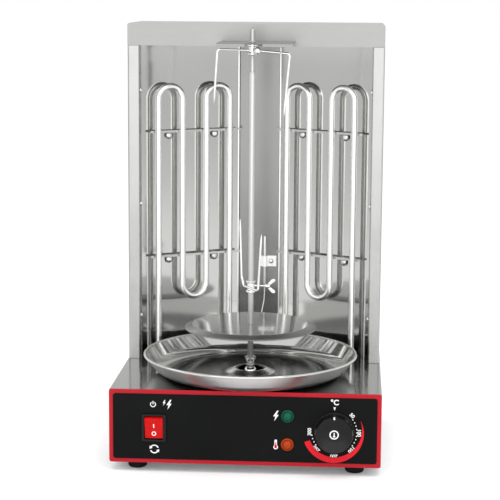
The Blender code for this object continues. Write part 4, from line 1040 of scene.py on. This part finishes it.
def in_mirrors(tree, plain, mirrored, output):
    """Show one shader to the eye and another one in reflections."""
    ray = node(tree, "ShaderNodeLightPath")
    mix = node(tree, "ShaderNodeMixShader")
    tree.links.new(ray.outputs["Is Glossy Ray"], mix.inputs[0])
    tree.links.new(plain.outputs[0], mix.inputs[1])
    tree.links.new(mirrored.outputs[0], mix.inputs[2])
    tree.links.new(mix.outputs[0], tree.nodes[output].inputs["Surface"])


def studio():
    """White room, soft boxes and a pale floor that looks darker in metal than to the eye."""
    world = bpy.data.worlds.new("studio")
    world.use_nodes = True
    room = world.node_tree.nodes["Background"]
    room.inputs["Color"].default_value = (1.0, 1.0, 1.0, 1.0)
    room.inputs["Strength"].default_value = 1.0
    seen = node(world.node_tree, "ShaderNodeBackground")
    seen.inputs["Color"].default_value = (0.98, 0.98, 0.98, 1.0)
    in_mirrors(world.node_tree, room, seen, "World Output")
    bpy.context.scene.world = world
    bpy.context.scene.view_settings.view_transform = "Standard"

    area_light("overhead", (0.2, -1.3, 2.2), (0.0, -0.8, 0.0), (2.0, 1.4), 3.4, mirrored=False)
    area_light("front_card", (0.0, -1.75, 0.75), (0.0, 0.0, 0.75), (2.6, 1.4), 1.0, mirrored=True,
               lighting=False)
    area_light("left_box", (-1.5, 0.1, 1.2), (0.0, 0.0, 0.4), (0.4, 0.8), 1.6, mirrored=True)
    area_light("right_box", (1.1, -1.6, 1.3), (0.0, 0.0, 0.2), (0.4, 0.8), 3.0, mirrored=True)

    floor_mesh = bmesh.new()
    bmesh.ops.create_grid(floor_mesh, x_segments=1, y_segments=1, size=12.0)
    mesh = bpy.data.meshes.new("floor")
    floor_mesh.to_mesh(mesh)
    floor_mesh.free()
    pale = finish("pale_floor", (0.93, 0.93, 0.93), 0.60, DULL, even(60.0), 0.0, tint=0.005, specular=0.1)
    shader = pale.node_tree.nodes["Principled BSDF"]
    shader.inputs["Emission Color"].default_value = (1.0, 1.0, 1.0, 1.0)
    shader.inputs["Emission Strength"].default_value = 0.10
    dull = node(pale.node_tree, "ShaderNodeBsdfDiffuse")
    dull.inputs["Color"].default_value = (0.76, 0.76, 0.76, 1.0)
    in_mirrors(pale.node_tree, shader, dull, "Material Output")
    mesh.materials.append(pale)
    floor = shown("floor", mesh)


def camera():
    """Camera in front of the broiler, a little to its right and looking slightly down."""
    yaw, pitch, roll = 0.06444, 0.15944, 0.00676
    place = (0.12754, -2.02886, 0.58157)
    forward = Vector((-math.sin(yaw) * math.cos(pitch), math.cos(yaw) * math.cos(pitch), -math.sin(pitch)))
    level = Vector((math.cos(yaw), math.sin(yaw), 0.0))
    up = level.cross(forward)
    right = level * math.cos(roll) + up * math.sin(roll)
    up = up * math.cos(roll) - level * math.sin(roll)
    data = bpy.data.cameras.new("camera")
    data.sensor_width = 36.0
    data.lens = 116.64
    eye = shown("camera", data)
    eye.matrix_world = Matrix.Translation(place) @ Matrix((right, up, -forward)).transposed().to_4x4()
    bpy.context.scene.camera = eye


studio()
camera()
